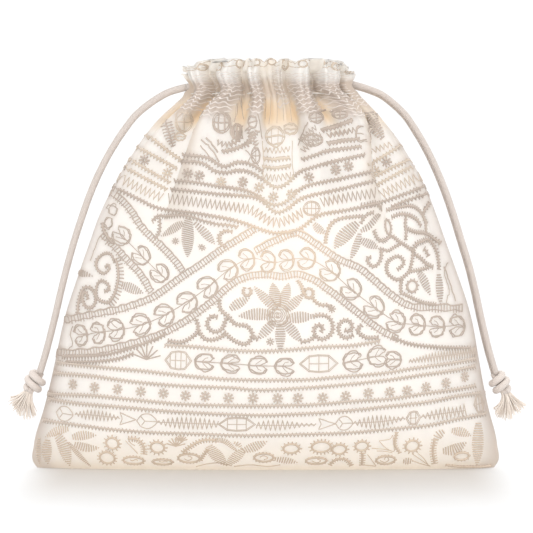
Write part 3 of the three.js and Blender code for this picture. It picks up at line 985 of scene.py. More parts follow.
class Chart:
    # threads are lines of their own thickness, bars are stitches across a line
    def __init__(self, panel, seen):
        self.panel = panel
        self.spot = seen.spot
        self.threads = []
        self.bars = []

    def trace(self, pixels, spacing=0.4):
        return smoothPath([self.spot(px, py) for px, py in pixels], spacing)

    def pixelLine(self, pixels, thickness):
        # a straight-edged line through pixels
        self.thread(np.array([self.spot(px, py) for px, py in pixels]), thickness)

    def level(self, height, start, end):
        half = np.interp(height, self.panel.heights, self.panel.halfLengths)
        return evenSteps(np.array([(start * half, height), (end * half, height)]), 0.5)

    def thread(self, path, thickness):
        self.threads.append((np.asarray(path, dtype=float), thickness))

    def across(self, path, left, right, pitch="teethPitch"):
        left, right = [np.broadcast_to(reach, len(path)) for reach in (left, right)]
        self.bars.append((path, left, right, pitch))

    def stitchedPlaces(self):
        lines = [evenSteps(path, 0.8) for path, thickness in self.threads]
        for path, left, right, pitch in self.bars:
            lines += [path[::2], beside(path, 0.6 * left)[::2], beside(path, -0.6 * right)[::2]]
        return np.concatenate(lines)

    def zigzag(self, path, halfWidth, period, thickness):
        self.thread(zigzagLine(path, halfWidth, period, stitch["zigzagCut"]), thickness)

    def seenZigzag(self, pixels, halfWidth, period, thickness):
        path = smoothPath(pixels, seenStitch["zigzagStep"])
        self.pixelLine(zigzagLine(path, halfWidth, period, 2 * stitch["zigzagCut"]), thickness)

    def row(self, path):
        self.zigzag(path, stitch["rowHalfWidth"], stitch["rowPeriod"], threadWeight["rowPoints"])
        self.thread(beside(path, stitch["rowLine"])[::3], threadWeight["rowLine"])

    def seenRow(self, pixels):
        halfWidth, period = seenStitch["rowHalfWidth"], seenStitch["rowPeriod"]
        self.seenZigzag(pixels, halfWidth, period, threadWeight["rowPoints"])
        path = smoothPath(pixels, seenStitch["rowStep"])
        self.pixelLine(beside(path, seenStitch["rowLine"]), threadWeight["rowLine"])

    def rope(self, pixels):
        # a plain rail, rungs hanging from it and a thin line that leaves their ends as teeth
        path = smoothPath(pixels, seenStitch["rungs"])
        reach = seenStitch["ropeReach"]
        self.pixelLine(beside(path, -reach), threadWeight["ropeRail"])
        self.pixelLine(beside(path, reach - seenStitch["ropeTeeth"]), threadWeight["ropeLine"])
        for rung in zip(beside(path, -reach), path, beside(path, reach)):
            self.pixelLine(rung, threadWeight["ropeRungs"])

    def ripple(self, height, start, end, thickness):
        # a level line that wavers a little
        path = self.level(height, start, end)
        along = path[:, 0]
        waves = np.sin(1.1 * along + 1.7 * height) + np.sin(0.5 * along + 0.9 * height)
        path[:, 1] += stitch["waver"] * waves
        self.thread(path, thickness)

    def fern(self, path, halfWidth, pitch="finePitch"):
        swell = halfWidth * np.sin(math.pi * np.linspace(0.15, 0.98, len(path))) ** 0.75
        self.across(path, swell, swell, pitch)

    def seenFern(self, pixels, reach):
        path = smoothPath(pixels, seenStitch["lineStep"])
        self.thread(self.trace(pixels)[::2], threadWeight["fernStem"])
        swell = reach * np.sin(math.pi * np.linspace(0.15, 0.92, len(path))) ** 0.6
        for middle, side in zip(path, pathNormals(path) * swell[:, None]):
            leaflet = [middle + share * side for share in (-1, -0.5, 0, 0.5, 1)]
            self.pixelLine(leaflet, threadWeight["leaflets"])

    def seenOval(self, middle, along, up, cells):
        # an oval with cross lines, as wide and high as it is seen
        middle, thickness = np.array(middle), threadWeight["oval"]
        for share in (1.0, 0.84):
            self.pixelLine(middle + share * ovalLine(along, up, 18), thickness)
        steps = np.linspace(-1.0, 1.0, 5)[:, None]
        for cell in range(1, cells):
            x = along * (2 * cell / cells - 1)
            half = up * math.sqrt(1 - (x / along) ** 2)
            self.pixelLine(middle + np.concatenate((x + 0 * steps, half * steps), axis=1), thickness)
        if cells:
            self.pixelLine(middle + np.concatenate((along * steps, 0 * steps), axis=1), thickness)

    def star(self, place, radius, thickness):
        for ray in rays(np.arange(8) * math.pi / 4, radius):
            self.thread([place + 0.2 * ray, place + ray], thickness)

    def seenStar(self, pixel):
        for ray in rays(np.arange(8) * math.pi / 4, seenStitch["starRadius"]):
            self.pixelLine([pixel + share * ray for share in (0.2, 0.6, 1)], threadWeight["seenStar"])

    def seenRings(self, middle, radii):
        for radius in radii:
            self.pixelLine(np.array(middle) + ovalLine(radius, radius, 24), threadWeight["flower"])

    def spray(self, place, length):
        for ray in rays(math.pi * np.linspace(0.1, 0.9, 7), length):
            self.thread([place, place + 0.5 * ray, place + ray], threadWeight["spray"])

    def fringedRing(self, place, along, up, fringe):
        ring = evenSteps(place + ovalLine(along, up, 40), 0.4)
        self.thread(ring, threadWeight["ring"])
        self.across(ring, 0.2, fringe)

    def shape(self, place, outline, thickness):
        # a motif's line, moved from its own frame
        self.thread(np.asarray(outline, dtype=float) + place, thickness)

    def leafPair(self, middle, angle, length, width):
        # two pointed leaves in doubled thread, in pixels, which leave a notch between their tips
        half, reach = 0.5 * length, 0.5 * width
        turn = np.array(((math.cos(angle), math.sin(angle)), (-math.sin(angle), math.cos(angle))))
        for side in (-1, 1):
            for inset in (0.0, seenStitch["leafDouble"]):
                outer = [(half - inset, 0.0), (0.76 * half, side * (0.62 * reach - inset)),
                         (0.1 * half, side * (reach - inset)), (-0.55 * half, side * (0.94 * reach - inset)),
                         (-0.96 * half + inset, side * 0.46 * reach)]
                self.pixelLine(smoothPath(outer, 2.0) @ turn + middle, threadWeight["leaf"])
            inner = [(-0.96 * half, side * 0.46 * reach), (-0.55 * half, side * 0.17 * reach),
                     (0.0, side * 0.06 * reach), (half, 0.0)]
            vein = [(0.2 * half, side * 0.1 * reach), (-0.05 * half, side * 0.4 * reach),
                    (-0.35 * half, side * 0.6 * reach)]
            self.pixelLine(smoothPath(inner, 2.0) @ turn + middle, threadWeight["leafInner"])
            self.pixelLine(np.array(vein) @ turn + middle, threadWeight["leafVein"])

    def bandLeaf(self, place, length, width):
        half = 0.5 * length
        for side in (-1, 1):
            edge = [(-half, 0.0), (-0.5 * half, side * 0.42 * width), (0.2 * half, side * 0.5 * width),
                    (0.75 * half, side * 0.25 * width), (half, 0.0)]
            self.shape(place, smoothPath(edge, 1.0), threadWeight["bandLeaf"])
        for vein in ([(-0.6 * half, 0.3 * width), (-0.2 * half, 0.0), (half, 0.0)],
                     [(-0.2 * half, 0.0), (-0.5 * half, -0.3 * width)]):
            self.shape(place, vein, threadWeight["bandVein"])

    def bow(self, place, length, width):
        edge = [(0.5 * length, 0.0), (-0.5 * length, 0.5 * width), (-0.35 * length, 0.0),
                (-0.5 * length, -0.5 * width), (0.5 * length, 0.0)]
        self.shape(place, evenSteps(np.array(edge), 1.0), threadWeight["bow"])

    def lattice(self, place, length, width, cells):
        # a long hexagon in doubled thread with cross lines
        corners = [(-1, 0), (-0.52, 0.88), (0, 1), (0.52, 0.92), (1, 0), (0.52, -0.92), (0, -1),
                   (-0.52, -0.88), (-1, 0)]
        for inset in (0.0, 0.55):
            along, up = 0.5 * length - 1.4 * inset, 0.5 * width - inset
            self.shape(place, [(along * x, up * y) for x, y in corners], threadWeight["lattice"])
        bar = threadWeight["latticeBars"]
        self.shape(place, [(-0.26 * length, 0.0), (0.0, 0.0), (0.26 * length, 0.0)], bar)
        for cell in range(1, cells):
            along = length * (cell / cells - 0.5)
            half = 0.5 * width * min(0.95, 2.08 - 4.16 * abs(along / length))
            self.shape(place, [(along, -half), (along, 0.0), (along, half)], bar)


# Places of the rows and motifs in pixels, read off the photograph. Sizes are millimetres where no
# pixels are named, and the neck's lines go by their height at the side seams.
bodyRows = [
    [(44, 419), (76, 424.9), (106.5, 428.4), (152.5, 433), (198.4, 434.6), (244, 435.8), (306, 434.9),
     (352, 432.6), (390, 429.5), (428.4, 424.9), (459, 418.8), (486, 413.4)],
    [(50, 397.4), (76, 402.7), (122, 407.3), (168, 411.6), (214, 414.2), (260, 415.3), (306, 414.2),
     (352, 410.4), (390, 406.5), (428.4, 402), (459, 396.6), (480, 393.5)],
    [(48.5, 392.4), (91, 396), (137, 400.4), (183, 404.6), (229, 406.3), (260, 406.8), (306, 405),
     (352, 401.9), (390, 398.9), (428.4, 393.5), (476, 386.4)],
    [(55, 371.3), (91, 376.7), (137, 382.4), (183, 386.3), (229, 388.5), (260, 389.7), (306, 388.2),
     (352, 384.3), (390, 379.7), (428.4, 374.4), (475, 366)],
    [(57.5, 362), (91, 366.7), (137, 371.3), (183, 375.9), (229, 379), (260, 380.5), (306, 379.7),
     (336.5, 377.5), (382.5, 372.9), (413, 369), (443.7, 363.7), (475, 357.5)],
    [(164.7, 345.3), (190, 347.2), (213.7, 348.8), (240, 350.6), (275, 351.2), (321, 347.6), (352, 345.3),
     (380, 341.3)],
]
shortRows = [
    [(152, 221.9), (159.5, 215.8), (174.8, 216.2), (187.6, 216.4), (206.7, 222), (219.4, 224.6),
     (238, 227.6)],
    [(159.5, 218.1), (159.5, 227), (158.2, 234.6), (154.4, 238.5)],
    [(62, 357.5), (84, 357), (108, 354.6), (130, 348.8), (152, 341), (165, 335)],
    [(66, 362.5), (95, 362), (118, 359), (134, 353.5)],
    [(392, 337.5), (408, 344), (436, 347), (470, 347.5)],
]
foldRows = [
    [(182.5, 155.6), (190, 155.6), (208.4, 158.5), (217, 164), (225, 167), (237.8, 162.5), (250.5, 164.5),
     (263, 172)],
    [(302, 160), (316, 155), (328.4, 151), (345, 149), (361.4, 147)],
    [(180, 162), (190, 161.8), (204.6, 164.4), (214.8, 171.6), (227.6, 173), (237.8, 170.6), (250.5, 172.6),
     (263.3, 180)],
    [(294, 176.5), (303.4, 170.5), (333, 162), (365, 155)],
    [(174, 181), (196.6, 183), (220, 186.8), (244.4, 190.4), (260, 197)],
    [(297, 191.5), (308, 185.7), (340, 179), (371, 172)],
    [(170.5, 189.6), (196, 192), (220, 194.6), (252, 197), (264, 202)],
    [(289, 208), (303.4, 198), (340, 189.5), (375, 181)],
    [(113, 188), (120, 190.5), (140, 200), (160, 209), (198, 214), (236, 221), (268, 232), (281, 233),
     (299, 229.5), (318, 216), (340, 211.5), (361.6, 207.5), (380, 203), (400, 196), (416, 190),
     (424.5, 186.4)],
    [(392, 207), (404, 202), (416, 197.6), (427.5, 194)], [(321, 131), (336, 126.5), (352.5, 120.5)],
    [(327.5, 143.8), (343, 141), (359.6, 139.3)], [(222, 152), (232, 150), (243, 146), (252, 140)],
]
hollowRows = [
    [(148.7, 136.4), (165, 149), (181, 161)], [(137, 147), (157, 158), (177, 169)],
    [(263.3, 180), (275, 187.7), (286, 184.5), (294, 176.5)], [(368.5, 165.5), (383, 157), (399.5, 146.6)],
    [(128.6, 159), (149, 171), (170, 183)], [(260, 197), (273, 205.3), (286, 202), (297, 191.5)],
    [(373, 178), (390, 169), (408, 160.6)], [(124, 167), (145, 178.5), (167, 190)],
    [(264, 202), (272, 210.5), (279, 213), (289, 208)], [(376.5, 185.7), (392, 177), (411.5, 167)],
    [(263, 158.6), (275, 160), (290, 158)], [(262, 167), (276, 168.6), (291, 166)],
]
foldZigzags = [   # pixels, half widths along it, period
    ([(168, 198.5), (200, 202.5), (230, 206.5), (252, 210), (264, 218), (276, 223), (290, 219),
      (302.5, 212.5)], 5.2, 4.7),
    ([(321, 202.5), (345.7, 197.5), (376, 193)], 5.2, 4.7),
    ([(327.5, 135.7), (343, 132.5), (357.9, 129.5)], (2.6, 3.2, 2.6), 4.3),
    ([(217, 142), (226, 145), (236, 142), (243, 136)], (2.4, 3.0, 2.4), 4.3),
    ([(303, 151), (311, 143), (321, 134)], (3.0, 4.4, 3.0), 3.6),
    ([(300, 141), (308, 134), (316, 127)], (2.0, 3.4, 2.0), 3.6),
    ([(247, 128), (252, 136), (257, 146)], (3.0, 4.0, 3.0), 3.2),
    ([(257.6, 130), (251.6, 138), (247, 146)], (2.4, 3.4, 2.4), 3.2),
]
foldLines = [   # pixels along single threads
    [(201, 140), (208, 145.4), (214.4, 153.6), (219, 162)], [(206, 137.6), (213, 145), (218, 152.6)],
    [(200.4, 146), (206, 152), (210, 158)], [(246, 150), (252, 156.6), (258.6, 166)],
    [(258.6, 148), (252, 155), (247, 164)], [(230, 126), (234, 133), (232, 141)],
    [(243, 125.6), (238, 133), (239, 141)], [(258, 113), (259.4, 124), (262, 138)],
    [(308, 122), (303, 132), (298, 146)], [(306.6, 113), (313, 109), (320, 112), (326, 109.6)],
    [(330, 112), (338, 108.6), (346, 111.6)], [(203, 112), (199, 122), (194, 134)],
]
hollowLines = [
    [(265, 96), (266, 108), (264.6, 120)], [(270, 98), (270.6, 112), (269, 124)],
    [(276.6, 94), (277.4, 108), (277, 122)], [(282.4, 92), (283, 106), (283.6, 120)],
    [(288.6, 96), (290, 108), (292, 122)], [(240, 96), (241.6, 108), (244, 120)],
    [(237, 104), (236.4, 114), (233.6, 122)], [(348.6, 98), (352, 106), (355, 116)],
    [(183, 118), (190, 108), (198, 99)], [(262, 141), (263.4, 160), (262.6, 178)],
    [(292.6, 141), (292, 160), (293.6, 176)],
]
hollowZigzags = [
    ([(119, 177.5), (140, 188.5), (162, 198)], 5.0, 4.7), ([(381, 195), (396, 187), (421, 176)], 5.0, 4.7),
    ([(262, 149.5), (276, 150.6), (290, 149)], (2.2, 2.6, 2.2), 3.9),
    ([(262, 176), (276, 178), (291, 175)], (3.2, 3.8, 3.2), 4.3),
    ([(369, 152), (380, 148), (391, 144)], (2.4, 3.2, 2.4), 4.3),
]
neckLines = {   # share across where they start and end, height of the lowest
    "folds": [(-0.54, -0.30, 185.6), (-0.22, -0.07, 187.4), (0.06, 0.18, 189.5), (0.235, 0.475, 186.4),
              (0.5, 0.785, 184.6), (-0.83, -0.63, 186.5), (0.8, 0.94, 186.5)],
    "top": 200.6, "pitch": 1.2,
}
headingRows = (206.6, 203.4)   # heights of the level threads on the heading
headingLoops = [   # pixel, half width and half height in pixels
    ((202, 67.4), 6.0, 3.2), ((218.6, 65.6), 3.6, 5.2), ((240, 63.6), 4.2, 4.4), ((256, 62.4), 4.0, 3.6),
    ((272, 61.6), 4.4, 3.4), ((285, 64.6), 3.8, 5.4), ((303, 63.8), 4.6, 3.8), ((320, 62.6), 5.0, 3.4),
    ((337, 66.4), 5.4, 4.2), ((347.6, 71), 2.8, 3.8),
]
lowerStars = [
    (73.2, 383.9), (94.7, 386.6), (117.7, 388.9), (140.5, 391.2), (163.5, 393.5), (185.8, 395.5),
    (205.3, 396.1), (228.7, 397.7), (252.7, 398.1), (277.6, 398.9), (298.3, 398), (323, 397.3),
    (345.7, 395.8), (368, 393.5), (389.3, 392), (407.3, 390.3), (426, 387.2), (446, 382.8), (465, 377.5),
]
upperStars = [
    (144.6, 160.4), (188, 173.8), (199.5, 175.5), (243, 182), (308.9, 177.3), (336, 169.7), (348.4, 166.5),
    (386.4, 162.1),
]
hollowStars = [(167.6, 173.2), (221, 182), (259, 187.6), (273.5, 196.8), (291.3, 194.2), (375, 170.8)]
smallStars = [(175.4, 241.7), (202.2, 247), (269.6, 341.7), (331.5, 309.5)]
archRopes = [
    [(66, 320.4), (98.3, 314), (123.8, 308.6), (149.3, 299.7), (162, 292), (181.2, 278), (200.3, 265.3),
     (219.4, 251.6), (238.6, 239.7), (255, 229.5)],
    [(255.6, 251.5), (267.8, 244.6), (278.6, 240), (289, 235), (299, 234), (311.5, 241.5), (324.5, 250.4),
     (340, 260.4), (357.4, 267.6), (373, 280), (389, 294), (402, 303), (414, 307.4), (431, 308),
     (462, 308.6)],
    [(58, 353), (80, 353), (98.3, 351), (130.2, 344.4), (162, 334.2), (187.6, 320.2), (213, 301.4),
     (225.8, 289.6), (238.6, 280.6), (252, 276.2), (267, 275), (282, 277), (297.7, 274.6), (313, 280),
     (324.5, 287.6), (340, 299.2), (356.6, 312.5), (373, 325.6), (386.4, 334), (397, 339)],
    [(112.6, 194), (121.2, 200.2), (131.4, 212), (139, 224.4), (149.3, 235.9), (162, 247.4), (174.8, 261.4),
     (182.4, 271.6)],
    [(102, 234.6), (113.6, 246), (127.6, 261.4), (139, 273), (150.6, 292)],
]
leafChains = [   # centres, length and width of the leaves in pixels
    ([(81, 335.4), (98.3, 332.9), (116.1, 329.7), (141, 324.6), (164.6, 315), (187.6, 302.2), (208, 286.9),
      (228.4, 269.8), (246.9, 259.5), (268, 262), (286.4, 260.2), (306.8, 258.9), (330.4, 271),
      (351.4, 289.5), (374.4, 307.6), (396.1, 322), (417.1, 324.8), (436.9, 326.5), (457, 326)],
     20.0, 21.6),
    ([(122, 236), (141.6, 256), (160, 273.5)], 18.8, 18.4),
    ([(284.5, 366.7), (258, 365.2), (230.5, 363.7), (204.5, 362.1)], 20.0, 17.6),
    ([(377, 356.4), (352.6, 361.4)], 20.0, 20.0),
]
vineTip = {"tail": (384, 359.6), "middle": (393.2, 359.8), "length": 16.8, "width": 17.2}   # pixels
flowerRings = {"middle": (277.8, 315.4), "radii": (1.2, 3.2, 5.2, 7.2, 9.2, 11.2)}   # pixels
lattices = [   # pixel, length, width, cells
    ((178.5, 359.8), 13.8, 9.8, 5), ((318.9, 363.7), 19.4, 9.2, 4), ((237, 424.9), 18.6, 7.4, 4),
    ((413.5, 418), 7.8, 7.2, 3), ((479, 403.5), 8.0, 9.0, 4),
]
upperOvals = [   # pixel, half width and half height in pixels, cells
    ((221.5, 122.5), 9.0, 10.5, 3), ((252.6, 122), 4.5, 6.8, 1), ((316, 117.5), 7.4, 5.4, 2),
    ((340, 114.5), 7.6, 4.6, 2), ((236.5, 131.5), 6.0, 7.6, 4), ((313, 140), 10.0, 6.0, 4),
    ((255.6, 155.6), 4.6, 8.6, 2), ((361, 133.5), 5.6, 8.6, 1), ((113, 210), 4.4, 6.0, 0),
    ((108.6, 223), 4.2, 5.6, 0), ((311.5, 208.5), 8.6, 7.4, 4),
]
hollowOvals = [
    ((184, 122), 8.6, 10.6, 2), ((180, 136.6), 6.0, 4.2, 1), ((275, 136.5), 9.6, 10.0, 3),
    ((290.6, 129), 7.2, 5.6, 1),
]
upperFerns = [   # pixels along the stem, half width in pixels
    ([(167, 120), (169, 132), (173, 146)], 5.6), ([(366, 114), (374, 126), (382, 138)], 6.0),
]
bandLeaves = [   # pixel, length, width
    ((64.4, 413.4), 10.6, 7.4), ((147, 421), 10.6, 7.6), ((344.2, 423.6), 8.8, 7.2),
]
bows = [   # pixel, length, width
    ((128.4, 419), 8.4, 6.4), ((327.4, 424.2), 8.4, 6.0),
]
wavyZigzags = [   # pixels, half widths along it, period
    ([(75, 413.8), (95, 415.4), (120, 418)], (0.4, 2.6, 3.0, 2.4, 0.5), 2.1),
    ([(157, 422), (185, 422.8), (218, 424.4)], (0.4, 2.6, 3.4, 3.4, 3.0, 1.6), 2.3),
    ([(256.5, 425.4), (280, 425.4), (316, 424.8)], (1.6, 3.0, 3.0, 2.0, 0.9, 0.6), 2.4),
    ([(353, 423.4), (380, 421), (405, 418.3)], (0.5, 2.8, 3.9, 3.4, 1.8, 0.6), 2.2),
    ([(421, 416.8), (442, 413.4), (466, 409.4)], (0.6, 2.6, 3.4, 2.4, 3.6), 2.3),
    ([(409, 360.6), (440, 356.2), (475, 349.6)], (0.8, 2.6, 2.6, 2.0), 1.8),
]
ferns = [   # pixels along the stem, half width
    ([(272, 315), (256, 314.4), (239.4, 315.8)], 2.8), ([(275.8, 308.2), (265, 298), (254.7, 287.1)], 2.4),
    ([(277.2, 306.3), (275, 295), (272.9, 283.3)], 2.7),
    ([(281.5, 307.2), (285.4, 295), (288.2, 283.3)], 2.5),
    ([(286.3, 311), (295, 302.6), (303.5, 293.8)], 2.4),
    ([(287.3, 318.7), (300, 317.6), (313.1, 315.8)], 2.7),
    ([(285.4, 322.5), (293.6, 331.6), (301.6, 341.7)], 2.4),
    ([(280.1, 323.5), (280.3, 337), (280.1, 350.3)], 2.4),
    ([(273.9, 322.5), (266, 330.4), (257.6, 338.8)], 2.4),
    ([(230.8, 308.2), (240, 302.6), (249, 297.7)], 2.5), ([(188.8, 219), (188, 238), (187.6, 256.3)], 3.2),
    ([(182.4, 223.2), (172, 229), (162, 235.9)], 2.3),
    ([(195.2, 223.2), (204.6, 232.6), (214.3, 243.6)], 2.4),
    ([(122.5, 284.4), (132, 288.6), (143, 293)], 2.6), ([(80, 272.6), (86, 273.8), (92, 275.6)], 1.6),
    ([(356.5, 223.2), (346, 234.6), (334.8, 247.4)], 3.6),
    ([(359.1, 234), (356, 246), (350.8, 258.8)], 1.9), ([(314.4, 224.6), (320, 230), (325.4, 234)], 1.9),
    ([(360.7, 239.8), (369, 244.6), (378.1, 248.1)], 2.1),
    ([(361.6, 231.5), (371, 223.6), (379.8, 214.9)], 1.9),
    ([(418.8, 272.1), (423.7, 281.2), (429.6, 293.7)], 2.4),
    ([(438.7, 275), (439.5, 288.7), (440.3, 302.8)], 2.5),
]
scrolls = [   # pixels along the stem, half width
    ([(313.1, 315.8), (319.8, 314.9), (327.5, 316.8), (332.2, 322.5), (332.7, 330.2), (328.4, 336.9),
      (321.7, 339.3), (316, 336.9), (313.6, 331.1), (315, 326.4), (319.8, 325.4), (323.1, 328.3),
      (321.2, 331.1)], 1.2),
    ([(301.6, 341.7), (309.3, 340.7), (315, 336.9)], 1.2),
    ([(345, 330), (349.5, 331.4), (352.6, 327.4), (350.4, 322), (344.6, 320.4), (339.4, 323.6),
      (338, 329.4), (340.6, 335), (346.5, 337.4), (353, 335.6)], 1.2),
    ([(361.6, 325.2), (357, 329.6), (360.4, 335.4), (368, 338), (378.2, 336.7)], 1.2),
    ([(257.6, 338.8), (252.8, 336.9), (251.9, 331.1), (246.1, 326.4), (238.5, 325.4), (232.7, 322.5),
      (228.9, 317.7), (224.1, 313), (220.3, 308.2), (219.3, 300.5)], 1.2),
    ([(224.1, 333.1), (231.8, 338.8), (241.4, 344.5), (248, 342.6), (251.9, 337.8)], 1.2),
    ([(217.4, 317.7), (211.7, 315.8), (207.9, 319.7), (206.9, 325.4), (210.7, 330.2), (216.5, 332.1),
      (222.2, 329.2), (225.6, 321.6), (228, 315.8)], 1.2),
    ([(168.4, 340.5), (181.2, 341.8), (193, 336.6), (198.6, 329.6), (196.6, 320)], 1.2),
    ([(198.6, 331), (205, 338.6), (214.6, 339.4), (222.2, 336.9), (225.1, 334)], 1.2),
    ([(244.6, 287.6), (243, 291.9), (245.6, 295.6), (249.6, 295), (251.4, 291), (249.4, 287.6)], 0.9),
    ([(304.6, 292), (306.6, 297), (311.4, 297), (313.2, 292.4), (310, 289), (305.6, 290)], 0.9),
    ([(313.1, 297.7), (316, 302.4), (321.7, 304.8), (328.4, 305.3), (331.3, 309.1)], 1.1),
    ([(303.5, 293.8), (301.6, 287.1), (297.8, 280.4)], 1.0),
    ([(105.9, 266.5), (108.5, 264), (109.7, 267.8), (104.6, 273.5), (98.3, 271.6), (95.7, 265.3),
      (98.3, 257.6), (104.6, 253.8), (111, 255.1), (114.8, 261.4)], 0.9),
    ([(104.6, 292), (109.7, 289.5), (107.2, 283.1), (100.8, 280.6), (97, 286.9), (97, 295.9),
      (102.1, 302.2), (109.7, 303.5)], 1.1),
    ([(88.1, 298.4), (86.8, 293.3), (84.2, 292), (82.4, 299), (85.5, 306.1), (91.9, 307.3), (95.7, 302.2),
      (94.4, 292), (89.3, 286.9), (83, 289), (79, 300), (78, 312)], 1.1),
    ([(102.1, 224.4), (105.9, 234.6), (113.6, 244.8)], 1.1),
    ([(232, 231.5), (225, 230.4), (219.6, 236), (220, 243), (225.4, 246.8)], 1.2),
    ([(361, 206), (372, 203.6), (381, 208)], 1.6),
    ([(362, 217), (350, 217.2), (338, 219.4), (330.4, 226), (326.4, 235), (325.6, 243)], 1.1),
    ([(360.7, 222.4), (366.5, 215.7), (373.2, 213.2)], 1.1),
    ([(374, 230.7), (376.5, 237.3), (380.6, 240.6), (387.3, 237.3), (391.4, 235.6), (398, 240.6),
      (403, 243.9), (408.8, 248.1), (413.8, 252.2)], 1.2),
    ([(380.6, 249.7), (387.3, 250.6), (393.9, 248.1), (399.7, 243.9)], 1.1),
    ([(380.6, 249.7), (381.5, 256.4), (379, 263), (373.2, 266.3), (368.2, 263), (367.4, 258.8),
      (370.7, 257.2)], 1.1),
    ([(397.2, 268.8), (402.2, 266.3), (403.8, 261.3), (399.7, 257.2), (394.7, 257.2), (388.9, 260.5),
      (386.4, 266.3), (387.3, 272.9), (391.4, 277.9), (398, 279.6), (404.7, 276.3), (408.8, 271.3),
      (411.3, 265.5), (412.1, 258.8), (413, 253)], 1.2),
    ([(386.4, 209.9), (398, 207.4), (410.5, 206.6), (418.8, 210.8), (422.9, 216.6), (426.2, 222.4)], 1.1),
    ([(391.4, 216.6), (399.7, 214.9), (408, 215.7), (416.3, 219.9), (420.4, 225.7)], 1.2),
    ([(406.3, 216.6), (404.7, 223.2), (405.5, 230.7), (405.5, 239.8)], 1.1),
    ([(427.9, 202.5), (425.4, 209.1), (422.9, 216.6), (425.4, 224), (425.4, 231.5)], 1.1),
    ([(406.3, 229), (414.6, 231.5), (423.7, 233.1), (432, 236.5), (439.5, 243.1)], 1.2),
    ([(413.8, 249.7), (416.3, 244.8), (422.1, 240.6), (428.7, 240.6), (433.7, 246.4), (437, 254.7),
      (438.7, 263), (438.7, 269.6)], 1.5),
    ([(424, 249), (426.2, 251.4), (427.6, 255)], 1.5),
    ([(414.6, 253.9), (420.4, 258.8), (426.2, 263.8), (432.9, 268)], 1.3),
    ([(408.8, 271.3), (419.6, 270.5), (427.9, 268)], 1.1),
    ([(401.3, 279.6), (400.5, 286.2), (401.3, 294.5)], 1.1),
    ([(403.8, 294.5), (413, 298.6), (422.9, 302), (435.4, 303.6)], 1.1),
]
sideFerns = [   # pixels along the stem, half width to its left and right
    ([(116.1, 258.9), (118, 266.5), (118.7, 276.7), (116.8, 286.9), (114.2, 295.9), (108.5, 303.5)],
     3.4, 1.2),
]
rings = [   # pixel, radius along, radius up, length of the stitches around it
    ((412.1, 287), 2.9, 2.9, 1.2), ((387.3, 225.7), 2.2, 3.8, 0.9),
]
sprays = [   # pixel, length of the needles
    ((146.6, 359.6), 7.6),
]
edgeLines = [   # pixels along thin threads by the right and left edges
    [(444, 266), (450, 283), (455.6, 301)], [(447.4, 262), (444.4, 274), (449, 290), (446, 302)],
    [(99.6, 237), (95.6, 247), (90.6, 260)], [(73, 326), (70.4, 334), (72.6, 344), (68, 350)],
]

# The border along the base, in the same columns
borderFerns = [
    ([(57.4, 434), (63.7, 446.3), (69.8, 464.7)], 3.2), ([(68, 428.6), (57, 431), (46, 437.4)], 2.2),
    ([(48, 440), (46.6, 450), (48, 463)], 2.8), ([(39.6, 438), (38.6, 450), (39.6, 463)], 1.5),
    ([(73.4, 437.4), (85, 435.6), (96, 434.5)], 2.4), ([(75.4, 444.4), (87, 447.2), (98.4, 447.4)], 2.4),
    ([(209.6, 445.6), (217, 456), (226.6, 465)], 3.2),
    ([(242.4, 449.6), (236.4, 456.6), (226.6, 465)], 2.8), ([(244, 450), (254, 446), (266.6, 441.4)], 2.7),
    ([(275.4, 458.6), (286, 460), (297, 462)], 2.2), ([(443.7, 450.6), (454, 449), (465.6, 443)], 3.0),
    ([(452.6, 431), (461, 431.6), (470.6, 436)], 2.3), ([(478.4, 424), (477.6, 443.3), (477, 464)], 3.2),
    ([(443, 431.6), (438, 435), (434.6, 441)], 2.4),
]
solidLeaves = [
    ([(69.4, 442.6), (79, 454.6), (90.4, 465.2)], 1.3), ([(214, 439.6), (224.6, 441.4), (237, 451)], 1.4),
    ([(234.4, 442.4), (238, 444.4), (241.6, 447.6)], 1.3),
    ([(403.6, 460.6), (408, 460.4), (413, 460.6)], 2.3),
]
borderScrolls = [
    ([(183, 451.6), (192, 445), (200, 441.4), (208, 439.6), (216, 439.6)], 1.5),
    ([(129, 438.8), (136, 439.4), (141.2, 442.6), (144.2, 448), (144.4, 453.6)], 1.7),
    ([(330, 464), (334.6, 459.8), (341, 458.6), (347, 460.2), (351.4, 464.8)], 1.3),
    ([(362.6, 453), (362, 464.6)], 1.5), ([(434.4, 440), (432.8, 451), (434.6, 463)], 1.7),
    ([(446, 464.8), (460, 466), (478, 466.2), (491, 465.4)], 0.8),
    ([(396.6, 432.6), (394.8, 443.4), (399.6, 452.4)], 1.0),
    ([(200.6, 459.6), (203.6, 455), (207, 449)], 1.2),
]
borderRings = [
    ((112, 443), 3.2, 3.2, 1.7), ((107, 457.2), 3.8, 3.7, 1.5), ((157.6, 447.2), 3.4, 3.3, 1.7),
    ((291.1, 448.4), 3.9, 2.9, 1.5), ((320.8, 446.6), 4.7, 3.3, 1.7), ((338.8, 449.2), 3.5, 3.1, 1.5),
    ((361.8, 446.4), 3.2, 2.9, 1.5), ((412.2, 445.6), 3.4, 3.3, 1.7), ((133.6, 460.2), 5.2, 2.5, 1.0),
    ((162.8, 461.6), 5.0, 1.9, 0.9), ((189, 457.8), 5.4, 3.0, 1.0), ((263.8, 457.2), 4.8, 2.9, 1.0),
    ((316, 460.4), 5.2, 2.4, 0.8), ((385.7, 459.6), 4.8, 2.8, 0.9), ((461.2, 456), 3.9, 2.2, 0.9),
]
